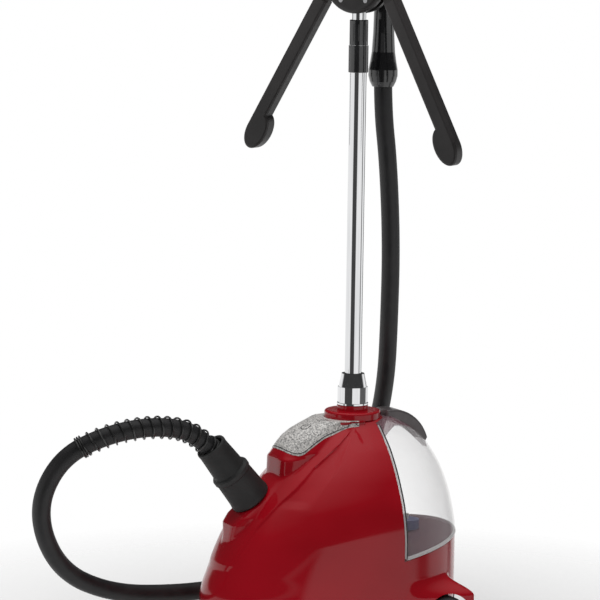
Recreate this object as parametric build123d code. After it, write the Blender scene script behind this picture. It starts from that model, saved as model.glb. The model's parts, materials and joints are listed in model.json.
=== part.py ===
"""Garment steamer: a domed base on two wheels, a telescopic pole with a folding hanger, a lift-off
water tank, and a steam hose that runs from the front of the base up to the handset.

Millimetres. Z is up, the floor is Z = 0 and the hose outlet faces -Y. Everything is modelled about
the pole's axis and then moved so that the origin lies under the middle of the object.
"""
import os
from math import atan2, cos, degrees, hypot, pi, radians, sin, tan

from build123d import *

# ---- Whole object
POLE_BACK = 30.0            # the pole stands this far behind the middle of the base
WALL = 2.6                  # moulded walls of the base
GAP = 0.3                   # clearance between neighbouring pieces
RUN_FIT = 0.05              # radial clearance of a running fit

# ---- Base: half-ellipses in front of and behind the pole, at each height
#        height  half width  reach forward  reach back
DOME = (
    (22.0, 125.0, 208.0, 139.0),
    (62.0, 122.0, 210.0, 142.0),
    (102.0, 120.0, 197.0, 143.0),
    (141.0, 120.0, 177.5, 143.0),
    (180.0, 115.0, 150.0, 136.0),
    (217.0, 97.0, 116.0, 127.0),
    (254.0, 72.0, 77.0, 105.0),
    (276.0, 49.0, 54.0, 81.0),
    (290.0, 33.0, 37.0, 56.0),
)
SHELL_FOOT = DOME[0][0]
SHELL_TOP = DOME[-1][0]
INNER_TOP = SHELL_TOP - 3.0
OUTLET_R = 9.0              # hole under the boot

# ---- Raised spine in front of the pole: panel, step, inclined hose seat, rounded boss
SPINE_HALF = 34.0
PANEL_REAR = (-37.0, 290.0)
PANEL_MID = (-77.0, 272.5)
PANEL_FRONT = (-112.0, 246.0)
STEP_FOOT = (-115.0, 216.0)
SEAT_TOP = (-122.0, 213.0)
SEAT_FOOT = (-172.0, 172.0)
BOSS_TOP = (-181.0, 162.0)
BOSS_FOOT = (-184.0, 125.0)
PANEL_THICK = 1.5
PANEL_INSET = 2.0

# ---- Pole
TUBE_R = 11.0
TUBE_BORE = 10.0
TUBE_FOOT = 236.0
TUBE_TOP = 743.0
INNER_R = 9.25
INNER_BORE = 8.25
INNER_FOOT = 320.0
INNER_END = 921.0
SOCKET_R = 15.0             # sleeve that holds the outer tube
LOCK_R = 12.9
LOCK_SPLIT = 776.0
LOCK_TOP = 809.0
COLLAR_R = 37.0
COLLAR_TOP = 300.0
RING_R = 20.5
RING_TOP = 307.0
NUT_TOP = 348.0
POLE_RAISE = 350.0          # how far the inner tube draws out

# ---- Hanger: a hub round the pole, with an arm folding out at each side
HANGER_TURN = 32.3          # the hanger faces this far round from the front, towards +X
HUB_Z = 861.0
HUB_R = 44.0
HUB_REAR = 14.0             # behind the pole's axis
HUB_FRONT = 18.0            # in front of it
HUB_SLEEVE = 13.0
ARM_MID = 2.0               # in front of it
ARM_ROOT = 9.8
EYE_NEAR = ARM_MID - ARM_ROOT / 2 - GAP
EYE_FAR = ARM_MID + ARM_ROOT / 2 + GAP
PIVOT_X = 36.0
PIN_R = 4.0
POST_R = 4.5
ARM_REACH = 256.0
ARM_WIDE = 19.0
ARM_DEEP = 20.0
ARM_SHOULDER = 31.0
PADDLE_X = 15.5
PADDLE_Z = 26.0
PADDLE_SHIFT = 6.0
LEFT_DROOP = 30.2           # from the vertical
RIGHT_DROOP = 26.4

# ---- Handset, on a hook behind the pole's top
HANDSET_X = -20.0
HANDSET_Y = 48.0
HANDSET_TURN = 202.6        # its steam plate faces away from the pole
HANDLE_FOOT = 721.0
HANDLE_TOP = 934.0
#               radius, above the handle's foot
HANDLE_FLARE = (
    (14.0, 0.0),
    (17.3, 6.5),
    (19.3, 14.0),
    (19.3, 22.0),
    (17.4, 32.0),
    (15.4, 45.0),
    (13.9, 70.0),
    (13.2, 100.0),
)
HOOK_Z = 908.0
HOOK_THICK = 9.0
FORK_HALF = 22.0
FORK_GAP = 14.2             # half of the fork's opening
SHOULDER_Z = HOOK_Z + HOOK_THICK + GAP
HEAD_HALF = 62.0
HEAD_TOP = 1008.0
HEAD_FRONT = 38.0
HEAD_BACK = 17.0

# ---- Water tank, behind the bulkhead and above the sloping tray
BULKHEAD_Y = 15.0
TRAY_Z = 118.0              # at the bulkhead
TRAY_SLOPE = 8.5
NOTCH_R = 39.5
TRAY_WALL = 3.0
TANK_WALL = 2.2
#            half width, behind the pole: the lid is a tongue along the tank's ridge
LID_OUTLINE = (
    (60.0, BULKHEAD_Y),
    (32.0, 50.0),
    (21.0, 76.0),
    (13.0, 103.0),
)
LID_TIP = 112.0
LID_FOOT = 236.0            # the lid's joint is upright, from below the skin up
GRIP_HALF = 16.0
VALVE_Y = 85.0
TRAY_AT_VALVE = TRAY_Z + (VALVE_Y - BULKHEAD_Y) * tan(radians(TRAY_SLOPE))
CAP_R = 16.7
CAP_FOOT = TRAY_AT_VALVE + 6.0
CAP_TOP = TRAY_AT_VALVE + 18.7
STEM_R = 2.5
CUP_R = 16.0
CUP_WALL = 3.0
CUP_FOOT = TRAY_AT_VALVE - 30.0
CUP_TOP = TRAY_AT_VALVE - 9.0

# ---- Wheels, feet and base plate
WHEEL_R = 33.5
WHEEL_Y = 78.0
WHEEL_IN = 99.0
WHEEL_OUT = 122.0
HUBCAP_R = 24.0
AXLE_R = 4.0
ARCH_R = 42.0               # outside of the housing over each wheel
WELL_R = 38.0               # inside of it
WELL_IN = 92.0
ARCH_IN = WELL_IN - WALL
ARCH_OUT = 128.0
PLATE_Z = 12.0
PLATE_THICK = 3.0
PLATE_RIM = 26.0
FOOT_X = 70.0
FOOT_Y = -142.0
FOOT_R = 14.0

# ---- Boiler, inside at the front
BOILER_Y = -92.0
BOILER_R = 52.0
BOILER_FOOT = 34.0
BOILER_TOP = 92.0
BOILER_WALL = 4.0
BOILER_PORT = 16.0          # top of the steam outlet above the pot

# ---- Foot switch, in the rear wall
PEDAL_HALF = 22.0
PEDAL_Z = 38.0
PEDAL_TALL = 13.0
PEDAL_OUT = 150.0
PEDAL_IN = 112.0
PEDAL_TRAVEL = 4.0

# ---- Power inlet, a bush in the rear wall
INLET_X = -45.0
INLET_Y = 126.0
INLET_Z = 48.0
INLET_R = 8.0
INLET_BORE = 4.2
INLET_LONG = 18.0

# ---- Steam hose. Its route is in the object's own frame, from inside the boot to inside the handset
HOSE_R = 12.0
BOOT_SEAT = (0.0, -147.0, 192.5)
BOOT_TILT = 50.8            # above the horizontal
BOOT_LONG = 94.0
HOSE_ROUTE = (
    (0.0, -151.0, 234.0),
    (0.0, -189.0, 280.5),
    (0.0, -244.0, 297.0),
    (-10.0, -312.0, 290.0),
    (-34.0, -372.0, 258.0),
    (-58.0, -394.0, 186.0),
    (-83.0, -352.0, 102.0),
    (-108.0, -266.0, 58.0),
    (-136.0, -160.0, 42.0),
    (-160.0, -60.0, 38.0),
    (-178.0, 40.0, 72.0),
    (-170.0, 116.0, 158.0),
    (-132.0, 140.0, 244.0),
    (-82.0, 126.0, 322.0),
    (-44.0, 107.5, 404.0),
    (-32.0, 102.0, 510.0),
    (-24.5, 91.0, 620.0),
    (-20.4, 78.8, 692.0),
    (-20.0, 78.0, 744.0),
)
SPRING_POINTS = 4           # route points that the spring guard passes
SPRING_PAST = 0.60          # and this share of the next run
SPRING_START = 0.54         # of the first run, just inside the boot's mouth
SPRING_IN = 13.0
SPRING_OUT = 16.0


def save(name, shape):
    """Write one named piece, moved from the pole's axis to the object's own origin."""
    shape = Pos(0, POLE_BACK, 0) * shape
    shape.label = name
    export_step(shape, f"parts/{name}.step")


def group(pieces):
    """Several separate solids as one piece."""
    return Part() + pieces


def rod(radius, low, high, x=0.0, y=0.0):
    """Upright cylinder between two heights."""
    return Pos(x, y, low) * Cylinder(radius, high - low, align=(Align.CENTER, Align.CENTER, Align.MIN))


def pipe(outer, inner, low, high, x=0.0, y=0.0):
    """Upright tube between two heights."""
    return rod(outer, low, high, x, y) - rod(inner, low - 1, high + 1, x, y)


def block(x0, x1, y0, y1, z0, z1):
    """Box between two corners."""
    return Pos((x0 + x1) / 2, (y0 + y1) / 2, (z0 + z1) / 2) * Box(abs(x1 - x0), abs(y1 - y0), abs(z1 - z0))


def cross_rod(radius, x0, x1, y, z):
    """Cylinder lying along X."""
    return Pos((x0 + x1) / 2, y, z) * Rot(0, 90, 0) * Cylinder(radius, abs(x1 - x0))


def oval(height, half, front, back):
    """Closed outline of the base at one height."""
    fore = EllipticalCenterArc((0, 0), half, front, 180, arc_size=180)
    aft = EllipticalCenterArc((0, 0), half, back, 0, arc_size=180)
    return Pos(0, 0, height) * make_face([fore, aft])


def dome(inset=0.0, foot=SHELL_FOOT, top=SHELL_TOP):
    """Solid dome, drawn in by inset all round."""
    faces = []
    for height, half, front, back in DOME:
        if height == DOME[0][0]:
            height = foot
        if height == DOME[-1][0]:
            height = top
        faces.append(oval(height, half - inset, front - inset, back - inset))
    return loft(faces, ruled=True)


def side_plate(points, half):
    """Prism across the object, from an outline in the YZ plane."""
    face = make_face(Polyline(*points, close=True))
    return extrude(Plane.YZ * face, half, both=True)


def spine(inset=0.0):
    """Raised spine, from the collar down to the boss over the front wall."""
    top = ThreePointArc(
        (PANEL_REAR[0], PANEL_REAR[1] - inset),
        (PANEL_MID[0], PANEL_MID[1] - inset),
        (PANEL_FRONT[0] + inset, PANEL_FRONT[1] - inset),
    )
    rest = Polyline(
        (PANEL_FRONT[0] + inset, PANEL_FRONT[1] - inset),
        (STEP_FOOT[0] + inset, STEP_FOOT[1] - inset),
        (SEAT_TOP[0] + inset, SEAT_TOP[1] - inset),
        (SEAT_FOOT[0] + inset, SEAT_FOOT[1] - inset),
        (BOSS_TOP[0] + inset, BOSS_TOP[1] - inset),
        (BOSS_FOOT[0] + inset, BOSS_FOOT[1]),
        (-150.0, 112.0),
        (-60.0, 200.0),
        (-20.0, 270.0),
        (PANEL_REAR[0], PANEL_REAR[1] - inset),
    )
    return extrude(Plane.YZ * make_face([top, rest]), SPINE_HALF - inset, both=True)


def tank_space(grow):
    """Room behind the bulkhead and above the tray, round the collar; grow moves its walls outwards."""
    slope = tan(radians(TRAY_SLOPE))
    near = BULKHEAD_Y - grow
    far = 200.0
    low = TRAY_Z - grow
    room = side_plate(
        [(near, low - grow * slope), (far, low + (far - BULKHEAD_Y) * slope), (far, 400.0), (near, 400.0)],
        200.0,
    )
    return room - rod(NOTCH_R - grow, 0, 420)


def arch_space(side):
    """Everything that one wheel's housing takes up, to beyond the base's side and foot."""
    round_top = cross_rod(ARCH_R, side * ARCH_IN, side * (ARCH_OUT + 10), WHEEL_Y, WHEEL_R)
    low = block(side * ARCH_IN, side * (ARCH_OUT + 10), WHEEL_Y - ARCH_R, WHEEL_Y + ARCH_R, 0, WHEEL_R)
    return round_top + low


def wheel_arch(side):
    """Round housing over one wheel, with a wall on its inner side that the axle passes through."""
    housing = cross_rod(ARCH_R, side * ARCH_IN, side * ARCH_OUT, WHEEL_Y, WHEEL_R)
    housing -= cross_rod(WELL_R, side * WELL_IN, side * (ARCH_OUT + 1), WHEEL_Y, WHEEL_R)
    housing -= cross_rod(AXLE_R + GAP, -ARCH_OUT, ARCH_OUT, WHEEL_Y, WHEEL_R)
    return housing & block(-200, 200, 0, 200, SHELL_FOOT, 120)


def pedal_opening():
    half = PEDAL_HALF + 1
    return block(-half, half, 120, 160, PEDAL_Z - PEDAL_TRAVEL - 2, PEDAL_Z + PEDAL_TALL + 1)


def whole_shell():
    """Both halves of the base's casing, with the bulkhead and the tray for the tank."""
    hull = dome() + spine()
    hollow = dome(WALL, SHELL_FOOT - 2, INNER_TOP) + spine(WALL)
    shell = hull - hollow
    shell += hull & (tank_space(TRAY_WALL) - tank_space(0))
    shell -= tank_space(0)
    for side in (-1, 1):
        shell -= arch_space(side)
    shell -= rod(SOCKET_R + GAP, 200, 320)
    shell -= pedal_opening()
    shell -= rod(CUP_R - CUP_WALL - 1, 100, CAP_FOOT, 0, VALVE_Y)
    shell -= Pos(*BOOT_SEAT) * Rot(90 - BOOT_TILT, 0, 0) * Cylinder(OUTLET_R, 40)
    shell -= Pos(INLET_X, INLET_Y, INLET_Z) * Rot(90, 0, 0) * Cylinder(INLET_R, 60)
    return shell


def under_tray():
    """Everything behind the bulkhead and below the tray's top."""
    far = 200.0
    rise = (far - BULKHEAD_Y) * tan(radians(TRAY_SLOPE))
    outline = [(BULKHEAD_Y, 0.0), (far, 0.0), (far, TRAY_Z + rise), (BULKHEAD_Y, TRAY_Z)]
    return side_plate(outline, 200.0)


def base_plate():
    height, half, front, back = DOME[0]
    draw_in = WALL + 0.6
    outline = oval(PLATE_Z, half - draw_in, front - draw_in, back - draw_in)
    tub = extrude(outline, PLATE_RIM - PLATE_Z)
    outline_in = oval(PLATE_Z + PLATE_THICK, half - draw_in - 3, front - draw_in - 3, back - draw_in - 3)
    tub -= extrude(outline_in, PLATE_RIM)
    room = ARCH_R + 1
    for side in (-1, 1):
        tub -= cross_rod(room, side * (ARCH_IN - 1), side * 160, WHEEL_Y, WHEEL_R)
        tub -= block(side * (ARCH_IN - 1), side * 160, WHEEL_Y - room, WHEEL_Y + room, 0, WHEEL_R)
    for x, y in plate_screw_places():
        tub += pipe(6.0, 2.0, PLATE_Z, PLATE_RIM, x, y)
        tub -= rod(2.0, PLATE_Z - 1, PLATE_RIM + 1, x, y)
    return tub


def plate_screw_places():
    return [(-78.0, -95.0), (78.0, -95.0), (-60.0, 110.0), (60.0, 110.0)]


def base_screws():
    screws = []
    for x, y in plate_screw_places():
        screws.append(rod(3.6, PLATE_Z - 2.4, PLATE_Z, x, y) + rod(1.9, PLATE_Z - 1, PLATE_RIM + 6, x, y))
    return group(screws)


def front_feet():
    feet = []
    for side in (-1, 1):
        foot = rod(FOOT_R, 0, PLATE_Z, side * FOOT_X, FOOT_Y)
        feet.append(chamfer(foot.edges().group_by(Axis.Z)[0], 1.5))
    return group(feet)


def control_panel():
    """Thin overlay that follows the spine's top."""
    low = ThreePointArc(PANEL_REAR, PANEL_MID, PANEL_FRONT)
    high = ThreePointArc(
        (PANEL_REAR[0] - 0.6, PANEL_REAR[1] + PANEL_THICK),
        (PANEL_MID[0] - 0.6, PANEL_MID[1] + PANEL_THICK),
        (PANEL_FRONT[0] - 0.9, PANEL_FRONT[1] + 1.2),
    )
    ends = [Line(low @ 0, high @ 0), Line(low @ 1, high @ 1)]
    sheet = extrude(Plane.YZ * make_face([low, high] + ends), SPINE_HALF - PANEL_INSET, both=True)
    return sheet - rod(COLLAR_R + GAP, 200, 320) - indicator_place(2.6)


def indicator_place(radius):
    return Pos(20.0, -98.0, 258.0) * Rot(37, 0, 0) * Cylinder(radius, 30)


def indicator_lens():
    """Small lamp lens, flush with the panel and let into it."""
    low = ThreePointArc(PANEL_REAR, PANEL_MID, PANEL_FRONT)
    high = ThreePointArc(
        (PANEL_REAR[0] - 0.6, PANEL_REAR[1] + PANEL_THICK + 0.5),
        (PANEL_MID[0] - 0.6, PANEL_MID[1] + PANEL_THICK + 0.5),
        (PANEL_FRONT[0] - 0.9, PANEL_FRONT[1] + 1.7),
    )
    ends = [Line(low @ 0, high @ 0), Line(low @ 1, high @ 1)]
    return extrude(Plane.YZ * make_face([low, high] + ends), SPINE_HALF, both=True) & indicator_place(2.5)


def pole_collar():
    """Wide flange round the pole's foot."""
    flange = rod(COLLAR_R, SHELL_TOP, COLLAR_TOP)
    flange = fillet(flange.edges().group_by(Axis.Z)[-1], 3.0)
    return flange - rod(SOCKET_R + GAP, 280, 320)


def collar_ring():
    ring = rod(RING_R, COLLAR_TOP, RING_TOP)
    ring = fillet(ring.edges().group_by(Axis.Z)[-1], 1.5)
    return ring - rod(SOCKET_R + GAP, 280, 320)


def pole_socket():
    """Black sleeve inside the base that holds the pole, with a closed foot and a flange."""
    sleeve = rod(SOCKET_R, TUBE_FOOT - 6, RING_TOP) + rod(24.0, TUBE_FOOT - 10, TUBE_FOOT - 6)
    return sleeve - rod(TUBE_R, TUBE_FOOT, RING_TOP + 1)


def pole_nut():
    """Chrome compression nut: a thin rim, twelve flats, and a cone up to the tube."""
    flats_foot = RING_TOP + 2.5
    flats_top = RING_TOP + 23.5
    rim = rod(RING_R, RING_TOP + GAP, flats_foot)
    flats = Pos(0, 0, flats_foot) * extrude(RegularPolygon(19.8, 12), flats_top - flats_foot)
    standing = (Align.CENTER, Align.CENTER, Align.MIN)
    cone = Pos(0, 0, flats_top) * Cone(18.6, 15.0, NUT_TOP - flats_top, align=standing)
    return rim + flats + cone - rod(TUBE_R + RUN_FIT, 300, 360)


def pole_lock_body():
    """Lower half of the height lock, clamped on the outer tube's end."""
    sleeve = rod(LOCK_R, TUBE_TOP - 2, LOCK_SPLIT)
    sleeve = fillet(sleeve.edges().group_by(Axis.Z)[0], 1.0)
    return sleeve - rod(TUBE_R, TUBE_TOP - 3, TUBE_TOP) - rod(INNER_R + 0.6, TUBE_TOP - 1, LOCK_SPLIT + 1)


def pole_lock_ring():
    """Upper half of the height lock: the ring that is turned by hand."""
    ring = rod(LOCK_R - 0.8, LOCK_SPLIT + GAP, LOCK_TOP)
    ring = fillet(ring.edges().group_by(Axis.Z)[-1], 1.2)
    ring -= rod(INNER_R + 0.6, LOCK_SPLIT - 1, LOCK_TOP + 1)
    for turn in range(0, 360, 30):
        ring -= Rot(0, 0, turn) * Pos(LOCK_R - 0.3, 0, (LOCK_SPLIT + LOCK_TOP) / 2) * Cylinder(1.0, 22)
    return ring


def pole_bush():
    """Nylon bush at the inner tube's foot, which slides in the outer tube."""
    bush = rod(TUBE_BORE - RUN_FIT, INNER_FOOT - 12, INNER_FOOT)
    return bush + rod(INNER_BORE - 0.02, INNER_FOOT, INNER_FOOT + 10)


def handset_hook():
    """Fork behind the pole that the handset's shoulder rests on, on a ring fixed to the inner tube."""
    reach = hypot(HANDSET_X, HANDSET_Y)
    turn = degrees(atan2(HANDSET_Y, HANDSET_X)) - 90
    ring = rod(14.0, HOOK_Z, HOOK_Z + HOOK_THICK)
    neck = block(-10.0, 10.0, 8.0, reach, HOOK_Z, HOOK_Z + HOOK_THICK)
    plate = block(-FORK_HALF, FORK_HALF, 20.0, reach + 10, HOOK_Z, HOOK_Z + HOOK_THICK)
    plate = fillet(plate.edges().filter_by(Axis.Z), 5.0)
    plate = (plate + neck + ring) - rod(INNER_R, 900, 930)
    plate -= rod(FORK_GAP, 900, 930, 0.0, reach)
    plate -= block(-FORK_GAP, FORK_GAP, reach, reach + 40, 900, 930)
    return Rot(0, 0, turn) * plate


def pole_end_cap():
    cap = rod(12.5, INNER_END, INNER_END + 9)
    cap = fillet(cap.edges().group_by(Axis.Z)[-1], 4.0)
    return cap + rod(INNER_BORE - 0.02, INNER_END - 12, INNER_END)


def facing(shape):
    """Turn a piece modelled facing -Y to the way that the hanger faces."""
    return Rot(0, 0, HANGER_TURN) * shape


def front_disc(radius, near, far, x=0.0):
    """Disc facing -Y, between two distances in front of the pole's axis."""
    return Pos(x, -(near + far) / 2, HUB_Z) * Rot(90, 0, 0) * Cylinder(radius, far - near)


def hub_screw_places():
    return [(x, z) for x in (-18.0, 18.0) for z in (-27.0, 27.0)]


def hub_rear():
    """Back half of the hub, with the sleeve that swivels on the inner tube and the arms' two pins."""
    hub = front_disc(HUB_R, -HUB_REAR, EYE_NEAR)
    hub = fillet(hub.edges().filter_by(GeomType.CIRCLE).group_by(Axis.Y)[-1], 4.0)
    hub += rod(HUB_SLEEVE, HUB_Z - 40, HUB_Z + 40)
    for side in (-1, 1):
        hub += front_disc(PIN_R, EYE_NEAR - 2, EYE_FAR, side * PIVOT_X)
    for x, z in hub_screw_places():
        hub += Pos(0, 0, z) * front_disc(POST_R, EYE_NEAR - 2, EYE_FAR, x)
    return facing(hub - rod(INNER_R + RUN_FIT, 800, 930))


def hub_cover():
    """Front half of the hub: a shallow domed disc."""
    cover = front_disc(HUB_R, EYE_FAR, HUB_FRONT)
    cover = fillet(cover.edges().filter_by(GeomType.CIRCLE).group_by(Axis.Y)[0], 6.0)
    cover -= rod(HUB_SLEEVE + GAP, HUB_Z - 60, HUB_Z + 60)
    for x, z in hub_screw_places():
        cover -= Pos(0, 0, z) * front_disc(3.4, HUB_FRONT - 2, HUB_FRONT + 1, x)
    return facing(cover)


def hub_screws():
    screws = []
    for x, z in hub_screw_places():
        screws.append(Pos(0, 0, z) * front_disc(3.0, HUB_FRONT - 2, HUB_FRONT - 0.6, x))
    return facing(group(screws))


def arm(side, droop):
    """One folding hanger arm: a thin eye between the hub's halves, a bar, and an oval end."""
    eye = Pos(0, 0, -ARM_SHOULDER / 2) * Box(ARM_WIDE, ARM_ROOT, ARM_SHOULDER + 2)
    eye += Rot(90, 0, 0) * Cylinder(ARM_WIDE / 2, ARM_ROOT)
    bar_long = ARM_REACH - PADDLE_Z - ARM_SHOULDER
    bar = Pos(0, 0, -ARM_SHOULDER - bar_long / 2) * Box(ARM_WIDE, ARM_DEEP, bar_long)
    bar = fillet(bar.edges().filter_by(Axis.Z), 3.5)
    oval_end = Plane.XZ * Ellipse(PADDLE_X, PADDLE_Z)
    paddle = extrude(oval_end, ARM_DEEP / 2, both=True)
    paddle = fillet(paddle.edges(), 3.5)
    paddle = Pos(-side * PADDLE_SHIFT, 0, -ARM_REACH + PADDLE_Z) * paddle
    shape = eye + bar + paddle
    shape -= Rot(90, 0, 0) * Cylinder(PIN_R + RUN_FIT, 40)
    return facing(Pos(side * PIVOT_X, -ARM_MID, HUB_Z) * Rot(0, -side * droop, 0) * shape)


def at_handset(shape):
    """Place a piece modelled about the handset's own axis, its steam plate facing -Y."""
    return Pos(HANDSET_X, HANDSET_Y, 0) * Rot(0, 0, HANDSET_TURN) * shape


def handle_solid():
    """Outside of the handle: a flared foot, a slim waist, and a shoulder that rests on the hook."""
    flare = [(radius, HANDLE_FOOT + above) for radius, above in HANDLE_FLARE]
    waist = flare[-1][0]
    top = [(waist, SHOULDER_Z), (21.0, SHOULDER_Z), (22.0, SHOULDER_Z + 9)]
    top += [(20.0, HANDLE_TOP), (0, HANDLE_TOP)]
    outline = Polyline((0, HANDLE_FOOT), *flare, *top, close=True)
    return revolve(Plane.XZ * make_face(outline), Axis.Z)


def handle_half(rear):
    """Half of the handle's shell, bored for the hose at its foot."""
    shell = handle_solid() - rod(HOSE_R + 0.6, 700, HANDLE_FOOT + 28) - rod(10.0, 700, HANDLE_TOP + 1)
    near, far = (0.0, 40.0) if rear else (-40.0, 0.0)
    half = shell & block(-40, 40, near, far, 700, 940)
    if not rear:
        for z, skin in handset_screw_places():
            half -= Pos(0, -skin, z) * Rot(90, 0, 0) * Cylinder(3.0, 5.0)
    return at_handset(half)


def handset_screw_places():
    """Height of each screw, and the handle's radius there."""
    return [(HANDLE_FOOT + 18, 19.3), (HANDLE_FOOT + 85, 13.6)]


def handset_screws():
    screws = []
    for z, skin in handset_screw_places():
        screws.append(Pos(0, 1.75 - skin, z) * Rot(90, 0, 0) * Cylinder(2.8, 1.4))
    return at_handset(group(screws))


def head_form(inset=0.0):
    """Rounded steam head that widens out of the handle."""
    low = Pos(0, 0, HANDLE_TOP + inset) * Circle(20.0 - inset)
    wide = 2 * (HEAD_HALF - inset)
    deep = HEAD_FRONT + HEAD_BACK - 2 * inset
    middle = (HEAD_BACK - HEAD_FRONT) / 2
    mid = Pos(0, middle / 2, HANDLE_TOP + 22) * RectangleRounded(wide * 0.8, deep * 0.85, 14.0)
    top = Pos(0, middle, HANDLE_TOP + 44) * RectangleRounded(wide, deep, 16.0)
    end = Pos(0, middle, HEAD_TOP - inset) * RectangleRounded(wide * 0.94, deep * 0.9, 16.0)
    return loft([low, mid, top, end], ruled=True)


def handset_head():
    head = head_form() - head_form(WALL) - rod(5.3, HANDLE_TOP - 10, HANDLE_TOP + 10)
    window = block(-HEAD_HALF + 10, HEAD_HALF - 10, -60, -HEAD_FRONT / 2, HANDLE_TOP + 40, HEAD_TOP - 8)
    return at_handset(head - window)


def steam_plate():
    """Metal face of the steam head, with its rows of holes."""
    half = HEAD_HALF - 10 - GAP
    low = HANDLE_TOP + 40 + GAP
    high = HEAD_TOP - 8 - GAP
    plate = block(-half, half, -HEAD_FRONT + 1.5, -HEAD_FRONT + 4.5, low, high)
    plate = fillet(plate.edges().filter_by(Axis.Y), 5.0)
    for row in (-1, 1):
        for column in range(-4, 5):
            spot = Pos(column * 10.5 + row * 2.5, -HEAD_FRONT + 3, HANDLE_TOP + 53.5 + row * 6)
            plate -= spot * Rot(90, 0, 0) * Cylinder(1.6, 12)
    return at_handset(plate)


def handset_pipe():
    """Steam pipe inside the handle, from the hose's end to the steam head."""
    return at_handset(pipe(5.0, 3.5, HANDLE_FOOT + 32, HANDLE_TOP + 30))


def tank_region(shrink):
    return dome(shrink, SHELL_FOOT, SHELL_TOP - shrink) & tank_space(-GAP - shrink)


def lid_space(grow=0.0):
    """Upright prism over the tongue-shaped lid."""
    right = [(half + grow, back) for half, back in LID_OUTLINE]
    left = [(-half, back) for half, back in reversed(right)]
    first = right[0][0]
    points = [(first, 0.0)] + right + [(0.0, LID_TIP + grow)] + left + [(-first, 0.0)]
    return Pos(0, 0, LID_FOOT) * extrude(make_face(Polyline(*points, close=True)), 160)


def tank_skin():
    return tank_region(0) - tank_region(TANK_WALL)


def tank_shell():
    shell = tank_skin() - lid_space()
    boss = rod(CAP_R + 2.8, 100, CAP_TOP + 3.3, 0, VALVE_Y) & tank_space(-GAP)
    shell = shell + boss
    return shell - rod(CAP_R + GAP, 90, CAP_TOP + GAP, 0, VALVE_Y) - rod(9.0, 90, 200, 0, VALVE_Y)


def tank_lid():
    return tank_skin() & lid_space()


def tank_handle():
    """Carrying grip over the lid's ridge."""
    outer = ThreePointArc((44.0, 298.0), (84.0, 288.0), (106.0, 258.0))
    inner = ThreePointArc((44.0, 270.0), (76.0, 262.0), (98.0, 244.0))
    ends = [Line(outer @ 0, inner @ 0), Line(outer @ 1, inner @ 1)]
    grip = extrude(Plane.YZ * make_face([outer, inner] + ends), GRIP_HALF, both=True)
    for side in (-1, 0):
        grip = fillet(grip.edges().filter_by(Axis.X, reverse=True).group_by(Axis.X)[side], 3.0)
    return grip - dome() - rod(NOTCH_R + 1, 0, 420)


def valve_cap():
    """Screw cap that closes the tank's filling hole and guides the valve."""
    cap = rod(CAP_R, CAP_FOOT, CAP_TOP, 0, VALVE_Y)
    cap -= rod(12.0, 0, CAP_TOP - 3.7, 0, VALVE_Y)
    return cap - rod(STEM_R + RUN_FIT, 0, 200, 0, VALVE_Y)


def valve_plunger():
    """Spring valve that the pin in the tray pushes up."""
    stem = rod(STEM_R, TRAY_AT_VALVE + 5, TRAY_AT_VALVE + 26, 0, VALVE_Y)
    return stem + rod(7.0, TRAY_AT_VALVE + 5, TRAY_AT_VALVE + 7.5, 0, VALVE_Y)


def valve_spring():
    return pipe(5.0, 4.0, TRAY_AT_VALVE + 8, TRAY_AT_VALVE + 14.7, 0, VALVE_Y)


def valve_seat():
    """Cup under the tray that takes the water, with the pin that opens the valve."""
    cup = rod(CUP_R, CUP_FOOT, CUP_TOP, 0, VALVE_Y)
    cup -= rod(CUP_R - CUP_WALL, CUP_FOOT + CUP_WALL, TRAY_AT_VALVE, 0, VALVE_Y)
    return cup + rod(2.0, CUP_FOOT + 2, TRAY_AT_VALVE - 1.5, 0, VALVE_Y)


def boiler_body():
    pot = rod(BOILER_R, BOILER_FOOT, BOILER_TOP, 0, BOILER_Y)
    return pot - rod(BOILER_R - BOILER_WALL, BOILER_FOOT + BOILER_WALL, BOILER_TOP + 1, 0, BOILER_Y)


def boiler_lid():
    lid = rod(BOILER_R + 4, BOILER_TOP, BOILER_TOP + 4, 0, BOILER_Y)
    lid += rod(7.0, BOILER_TOP + 3, BOILER_TOP + BOILER_PORT, 0, BOILER_Y)
    return lid - rod(4.0, 0, 200, 0, BOILER_Y)


def heating_element():
    """Tubular heater bent to a ring on the boiler's floor."""
    return Pos(0, BOILER_Y, BOILER_FOOT + BOILER_WALL + 8) * Torus(BOILER_R - 16, 4.0)


def boiler_stand():
    """Three legs that carry the boiler above the base plate."""
    legs = []
    for turn in (30, 150, 270):
        x = 36 * cos(radians(turn))
        y = BOILER_Y + 36 * sin(radians(turn))
        legs.append(rod(5.0, PLATE_Z + PLATE_THICK, BOILER_FOOT, x, y))
    return group(legs)


def thermostat():
    return Pos(BOILER_R + 4, BOILER_Y, 60) * Rot(0, 90, 0) * Cylinder(8.0, 8.0)


def thermal_fuse():
    return Pos(-BOILER_R - 2, BOILER_Y, 60) * Rot(90, 0, 0) * Cylinder(2.0, 24.0)


def smooth_route(points, radii=None):
    """Straight runs joined by tangent arcs, each arc as large as its runs allow."""
    points = [Vector(*p) for p in points]
    if radii is None:
        radii = corner_radii(points)
    return FilletPolyline(*points, radius=radii)


def corner_radii(points):
    points = [Vector(*p) for p in points]
    radii = []
    for before, here, after in zip(points, points[1:], points[2:]):
        turn = (here - before).get_angle(after - here)
        shorter = min((here - before).length, (after - here).length)
        radii.append(0.45 * shorter / tan(radians(turn / 2)))
    return radii


def tube_along(points, outer, inner, radii=None):
    """Tube along a route; an inner radius of 0 makes it solid."""
    line = smooth_route(points, radii)
    section = Circle(outer)
    if inner:
        section -= Circle(inner)
    return sweep(Plane(origin=line @ 0, z_dir=line % 0) * section, line), line


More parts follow.
